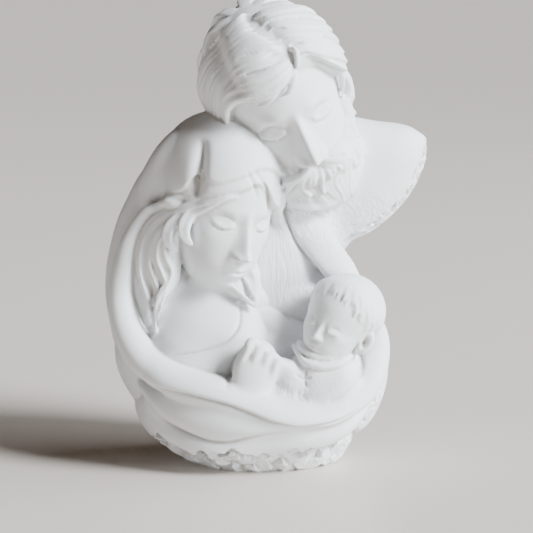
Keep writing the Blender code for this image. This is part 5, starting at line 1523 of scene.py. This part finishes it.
@dataclass(frozen=True)
class CastFinish:
    """Matt white casting with faint cloudiness, pores and painted shade that darkens the hollows.

    Args:
        white: The clean face's colour.
        cloud: The colour of its faint clouds.
        hollow_shade: The darker colour of the painted shade in deep hollows.
        roughness: The clean face's roughness.
        pore_depth: How deep the pores read, in metres.
    """

    white: Row = (0.74, 0.755, 0.775, 1.0)
    cloud: Row = (0.69, 0.703, 0.72, 1.0)
    # painted shade: the darker warm colour mixed into recesses where shade falls
    hollow_shade: Row = (0.52, 0.50, 0.465, 1.0)
    roughness: float = 0.60
    pore_depth: float = 0.00012

    def surface_group(self) -> bpy.types.NodeTree:
        """The node group that puts out clouds, pores and roughness over the surface."""
        group = bpy.data.node_groups.new("cast_surface", "ShaderNodeTree")
        for name in ("Cloud Scale", "Pore Scale", "Base Roughness"):
            group.interface.new_socket(name, in_out="INPUT", socket_type="NodeSocketFloat")
        for name in ("Cloud", "Pores", "Roughness"):
            group.interface.new_socket(name, in_out="OUTPUT", socket_type="NodeSocketFloat")
        nodes, links = group.nodes, group.links
        source = nodes.new("NodeGroupInput")
        target = nodes.new("NodeGroupOutput")
        place = nodes.new("ShaderNodeTexCoord")
        cloud = nodes.new("ShaderNodeTexNoise")
        cloud.inputs["Detail"].default_value = 4.0
        pores = nodes.new("ShaderNodeTexNoise")
        pores.inputs["Detail"].default_value = 5.0
        pores.inputs["Roughness"].default_value = 0.62
        rough = nodes.new("ShaderNodeMapRange")
        rough.inputs["To Min"].default_value = -0.07
        rough.inputs["To Max"].default_value = 0.09
        total = nodes.new("ShaderNodeMath")
        total.operation = "ADD"
        links.new(place.outputs["Object"], cloud.inputs["Vector"])
        links.new(place.outputs["Object"], pores.inputs["Vector"])
        links.new(source.outputs["Cloud Scale"], cloud.inputs["Scale"])
        links.new(source.outputs["Pore Scale"], pores.inputs["Scale"])
        links.new(cloud.outputs[0], target.inputs["Cloud"])
        links.new(pores.outputs[0], target.inputs["Pores"])
        links.new(pores.outputs[0], rough.inputs["Value"])
        links.new(rough.outputs[0], total.inputs[0])
        links.new(source.outputs["Base Roughness"], total.inputs[1])
        links.new(total.outputs[0], target.inputs["Roughness"])
        return group

    def add_grain(self, tree: bpy.types.NodeTree, pores: bpy.types.Node) -> None:
        """Relief finer than the mesh where its masks lie: combed lines, pits and hewn grit, over the pores."""
        nodes, links = tree.nodes, tree.links
        place = nodes.new("ShaderNodeTexCoord")
        below = pores
        for kind, scale, stretch, depth in (
            (Grain.COMBED, 900.0, (1.0, 1.0, 0.14), 0.0010),
            (Grain.PITTED, 620.0, (1.0, 1.0, 0.8), 0.0010),
            (Grain.HEWN, 520.0, (1.0, 1.0, 0.6), 0.0009),
        ):
            mask = nodes.new("ShaderNodeAttribute")
            mask.attribute_name = kind.value
            along = nodes.new("ShaderNodeMapping")
            along.inputs["Scale"].default_value = stretch
            pattern = nodes.new("ShaderNodeTexNoise")
            pattern.inputs["Scale"].default_value = scale
            pattern.inputs["Detail"].default_value = 3.0
            masked = nodes.new("ShaderNodeMath")
            masked.operation = "MULTIPLY"
            raised = nodes.new("ShaderNodeBump")
            raised.inputs["Strength"].default_value = 0.9
            raised.inputs["Distance"].default_value = depth
            links.new(place.outputs["Object"], along.inputs["Vector"])
            links.new(along.outputs[0], pattern.inputs["Vector"])
            links.new(pattern.outputs[0], masked.inputs[0])
            links.new(mask.outputs["Fac"], masked.inputs[1])
            links.new(masked.outputs[0], raised.inputs["Height"])
            links.new(below.outputs[0], raised.inputs["Normal"])
            below = raised
        links.new(below.outputs[0], nodes["Principled BSDF"].inputs["Normal"])

    def material(self) -> bpy.types.Material:
        """The finish as a material."""
        made = bpy.data.materials.new("cast_white")
        made.use_nodes = True
        nodes, links = made.node_tree.nodes, made.node_tree.links
        shader = nodes["Principled BSDF"]
        shader.inputs["Specular IOR Level"].default_value = 0.35
        surface = nodes.new("ShaderNodeGroup")
        surface.node_tree = self.surface_group()
        surface.inputs["Cloud Scale"].default_value = 26.0
        surface.inputs["Pore Scale"].default_value = 1100.0
        surface.inputs["Base Roughness"].default_value = self.roughness
        clouded = nodes.new("ShaderNodeMix")
        clouded.data_type = "RGBA"
        clouded.inputs["A"].default_value = self.white
        clouded.inputs["B"].default_value = self.cloud
        spread = nodes.new("ShaderNodeMapRange")
        spread.inputs["From Min"].default_value = 0.42
        spread.inputs["From Max"].default_value = 0.72
        # Painted shade: the hollow mask mixes the darker colour into the recesses to stand for shade.
        hollow = nodes.new("ShaderNodeAttribute")
        hollow.attribute_name = Grain.HOLLOW.value
        deep = nodes.new("ShaderNodeMapRange")
        deep.inputs["From Min"].default_value = 0.60
        deep.inputs["From Max"].default_value = 1.0
        deep.inputs["To Max"].default_value = 0.75
        hollow_shaded = nodes.new("ShaderNodeMix")
        hollow_shaded.data_type = "RGBA"
        hollow_shaded.inputs["B"].default_value = self.hollow_shade
        bump = nodes.new("ShaderNodeBump")
        bump.inputs["Strength"].default_value = 0.55
        bump.inputs["Distance"].default_value = self.pore_depth
        links.new(surface.outputs["Cloud"], spread.inputs["Value"])
        links.new(spread.outputs[0], clouded.inputs["Factor"])
        links.new(clouded.outputs["Result"], hollow_shaded.inputs["A"])
        links.new(hollow.outputs["Fac"], deep.inputs["Value"])
        links.new(deep.outputs[0], hollow_shaded.inputs["Factor"])
        links.new(hollow_shaded.outputs["Result"], shader.inputs["Base Color"])
        links.new(surface.outputs["Roughness"], shader.inputs["Roughness"])
        links.new(surface.outputs["Pores"], bump.inputs["Height"])
        self.add_grain(made.node_tree, bump)
        return made


@dataclass
class CastGroup:
    """The whole casting: a man, a woman and an infant in one mantle on a rough-hewn foot.

    Args:
        voxel: The skin's grid, in metres.
        triangles: How many triangles the finished mesh keeps.
        figures: What the clay is built up from, in order.
        carving: The work on the fused skin.
        grain: The grain's node tree.
        finish: The casting's finish.
    """

    voxel: float = 0.00070
    triangles: int = 190000
    figures: tuple = (Mantle(), Foot(), Man(), Woman(), Child(), Hand())
    carving: Carving = field(default_factory=Carving)
    grain: GrainTree = field(default_factory=GrainTree)
    finish: CastFinish = field(default_factory=CastFinish)

    def thin(self, obj: bpy.types.Object) -> bpy.types.Object:
        """The object with a Decimate down to its share of triangles."""
        obj.data.calc_loop_triangles()
        count = len(obj.data.loop_triangles)
        if count <= self.triangles:
            return obj
        thin = obj.modifiers.new("Thin", "DECIMATE")
        thin.ratio = self.triangles / count
        thin.use_collapse_triangulate = True
        return applied(obj)

    def cut_flat(self, obj: bpy.types.Object) -> None:
        """Cuts the object off at the ground and closes it with a flat underside."""
        bm = bmesh.new()
        bm.from_mesh(obj.data)
        whole = bm.verts[:] + bm.edges[:] + bm.faces[:]
        made = bmesh.ops.bisect_plane(bm, geom=whole, plane_co=(0, 0, 0), plane_no=(0, 0, 1), clear_inner=True)
        rim = [e for e in made["geom_cut"] if isinstance(e, bmesh.types.BMEdge)]
        bmesh.ops.edgenet_fill(bm, edges=rim)
        bmesh.ops.dissolve_degenerate(bm, dist=1e-6, edges=bm.edges)
        bmesh.ops.triangulate(bm, faces=bm.faces)
        bmesh.ops.recalc_face_normals(bm, faces=bm.faces)
        bm.to_mesh(obj.data)
        bm.free()
        obj.data.validate(clean_customdata=False)

    def build(self) -> bpy.types.Object:
        """Builds and dresses the casting.

        Returns:
            The finished object, at the origin with its place in its mesh.
        """
        clay = Clay()
        for figure in self.figures:
            figure.add_to(clay)
            LOG.info("%s modelled, %d points", type(figure).__name__, clay.count)
        statue = clay.fused("cast_group", self.voxel, 2)
        LOG.info("fused to %d points", len(statue.data.vertices))
        self.carving.work(Surface(statue.data, self.voxel))
        finish = self.finish.material()
        self.grain.work(statue, finish)
        self.thin(statue)
        self.cut_flat(statue)
        for polygon in statue.data.polygons:
            polygon.use_smooth = True
        statue.data.set_sharp_from_angle(angle=math.radians(55))
        if not statue.data.materials:
            statue.data.materials.append(finish)
        LOG.info("%s finished, %d triangles", statue.name, len(statue.data.polygons))
        return statue


@dataclass
class Studio:
    """A plain pale floor, soft light and the camera at the photograph's angle.

    Args:
        distance: From the camera to its target, in metres.
        elevation: The camera's height above the horizon, in degrees.
        target: What the camera looks at.
        pixels: The focal length, in pixels of the photograph.
        frame: The photograph's width, in pixels.
        floor_half: Half the floor's width, in metres.
    """

    distance: float = 1.150
    elevation: float = 8.0
    target: Row = (0.0, 0.0, 0.1052)
    pixels: float = 2137.5
    frame: float = 533.0
    floor_half: float = 40.0

    def floor(self) -> bpy.types.Object:
        """A wide pale floor that reaches past the top of the frame."""
        bm = bmesh.new()
        bmesh.ops.create_grid(bm, x_segments=1, y_segments=1, size=self.floor_half)
        mesh = bpy.data.meshes.new("studio_floor")
        bm.to_mesh(mesh)
        bm.free()
        floor = bpy.data.objects.new("studio_floor", mesh)
        bpy.context.scene.collection.objects.link(floor)
        made = bpy.data.materials.new("studio_paper")
        made.use_nodes = True
        shader = made.node_tree.nodes["Principled BSDF"]
        shader.inputs["Base Color"].default_value = (0.58, 0.535, 0.495, 1.0)
        shader.inputs["Roughness"].default_value = 0.45
        shader.inputs["Specular IOR Level"].default_value = 0.3
        mesh.materials.append(made)
        floor.visible_shadow = False
        return floor

    def panel(self, name: str, place: Row, size: float, watts: float, colour: Row) -> bpy.types.Object:
        """A soft square light that faces the statue.

        Args:
            name: Its name.
            place: Where it hangs, in metres.
            size: Its width, in metres.
            watts: Its power.
            colour: Its colour.

        Returns:
            The light.
        """
        data = bpy.data.lights.new(name, "AREA")
        data.energy = watts
        data.size = size
        data.color = colour
        light = bpy.data.objects.new(name, data)
        light.location = place
        way = Vector(place) - Vector(self.target)
        light.rotation_euler = way.to_track_quat("Z", "Y").to_euler()
        bpy.context.scene.collection.objects.link(light)
        return light

    def sky(self, name: str, turn: float, height: float, strength: float, spread: float, colour: Row) -> None:
        """A soft light from far off, even over the whole floor.

        Args:
            name: Its name.
            turn: Where it stands, in degrees from the front to the right.
            height: How high it stands, in degrees.
            strength: Its strength.
            spread: How wide it is, in degrees.
            colour: Its colour.
        """
        data = bpy.data.lights.new(name, "SUN")
        data.energy = strength
        data.angle = math.radians(spread)
        data.color = colour
        light = bpy.data.objects.new(name, data)
        turn, height = math.radians(turn), math.radians(height)
        way = Vector((math.sin(turn) * math.cos(height), -math.cos(turn) * math.cos(height), math.sin(height)))
        light.rotation_euler = way.to_track_quat("Z", "Y").to_euler()
        bpy.context.scene.collection.objects.link(light)

    def light(self) -> None:
        """A wide window at the right, low light beside it, a faint glow off the table and warm air."""
        self.sky("window", 60.0, 33.0, 9.8, 21.0, (0.94, 0.975, 1.0))
        self.sky("front", 56.0, 4.0, 3.0, 23.0, (0.92, 0.97, 1.0))
        self.sky("bounce", -52.0, -40.0, 0.7, 23.0, (1.0, 0.97, 0.93))
        self.panel("side", (1.7, 0.2, 1.3), 1.5, 40.0, (0.95, 0.975, 1.0))
        world = bpy.data.worlds.new("studio_air")
        world.use_nodes = True
        back = world.node_tree.nodes["Background"]
        back.inputs["Color"].default_value = (1.0, 0.62, 0.34, 1.0)
        back.inputs["Strength"].default_value = 0.055
        bpy.context.scene.world = world

    def camera(self) -> bpy.types.Object:
        """The camera in its place."""
        data = bpy.data.cameras.new("photo_view")
        data.sensor_width = 36.0
        data.lens = self.pixels / self.frame * data.sensor_width
        data.clip_start = 0.05
        data.clip_end = 120.0
        camera = bpy.data.objects.new("photo_view", data)
        rise = math.radians(self.elevation)
        way = Vector((0.0, -math.cos(rise), math.sin(rise)))
        camera.location = Vector(self.target) + way * self.distance
        camera.rotation_euler = way.to_track_quat("Z", "Y").to_euler()
        bpy.context.scene.collection.objects.link(camera)
        bpy.context.scene.camera = camera
        return camera


def main() -> None:
    """Builds the casting and the studio round it."""
    logging.basicConfig(level=logging.INFO, format="%(name)s: %(message)s")
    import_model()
    group = CastGroup()
    statue = group.build()
    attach(statue, "root")
    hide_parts("holy_family_statue")
    studio = Studio()
    studio.floor()
    studio.light()
    studio.camera()


if __name__ == "__main__":
    main()
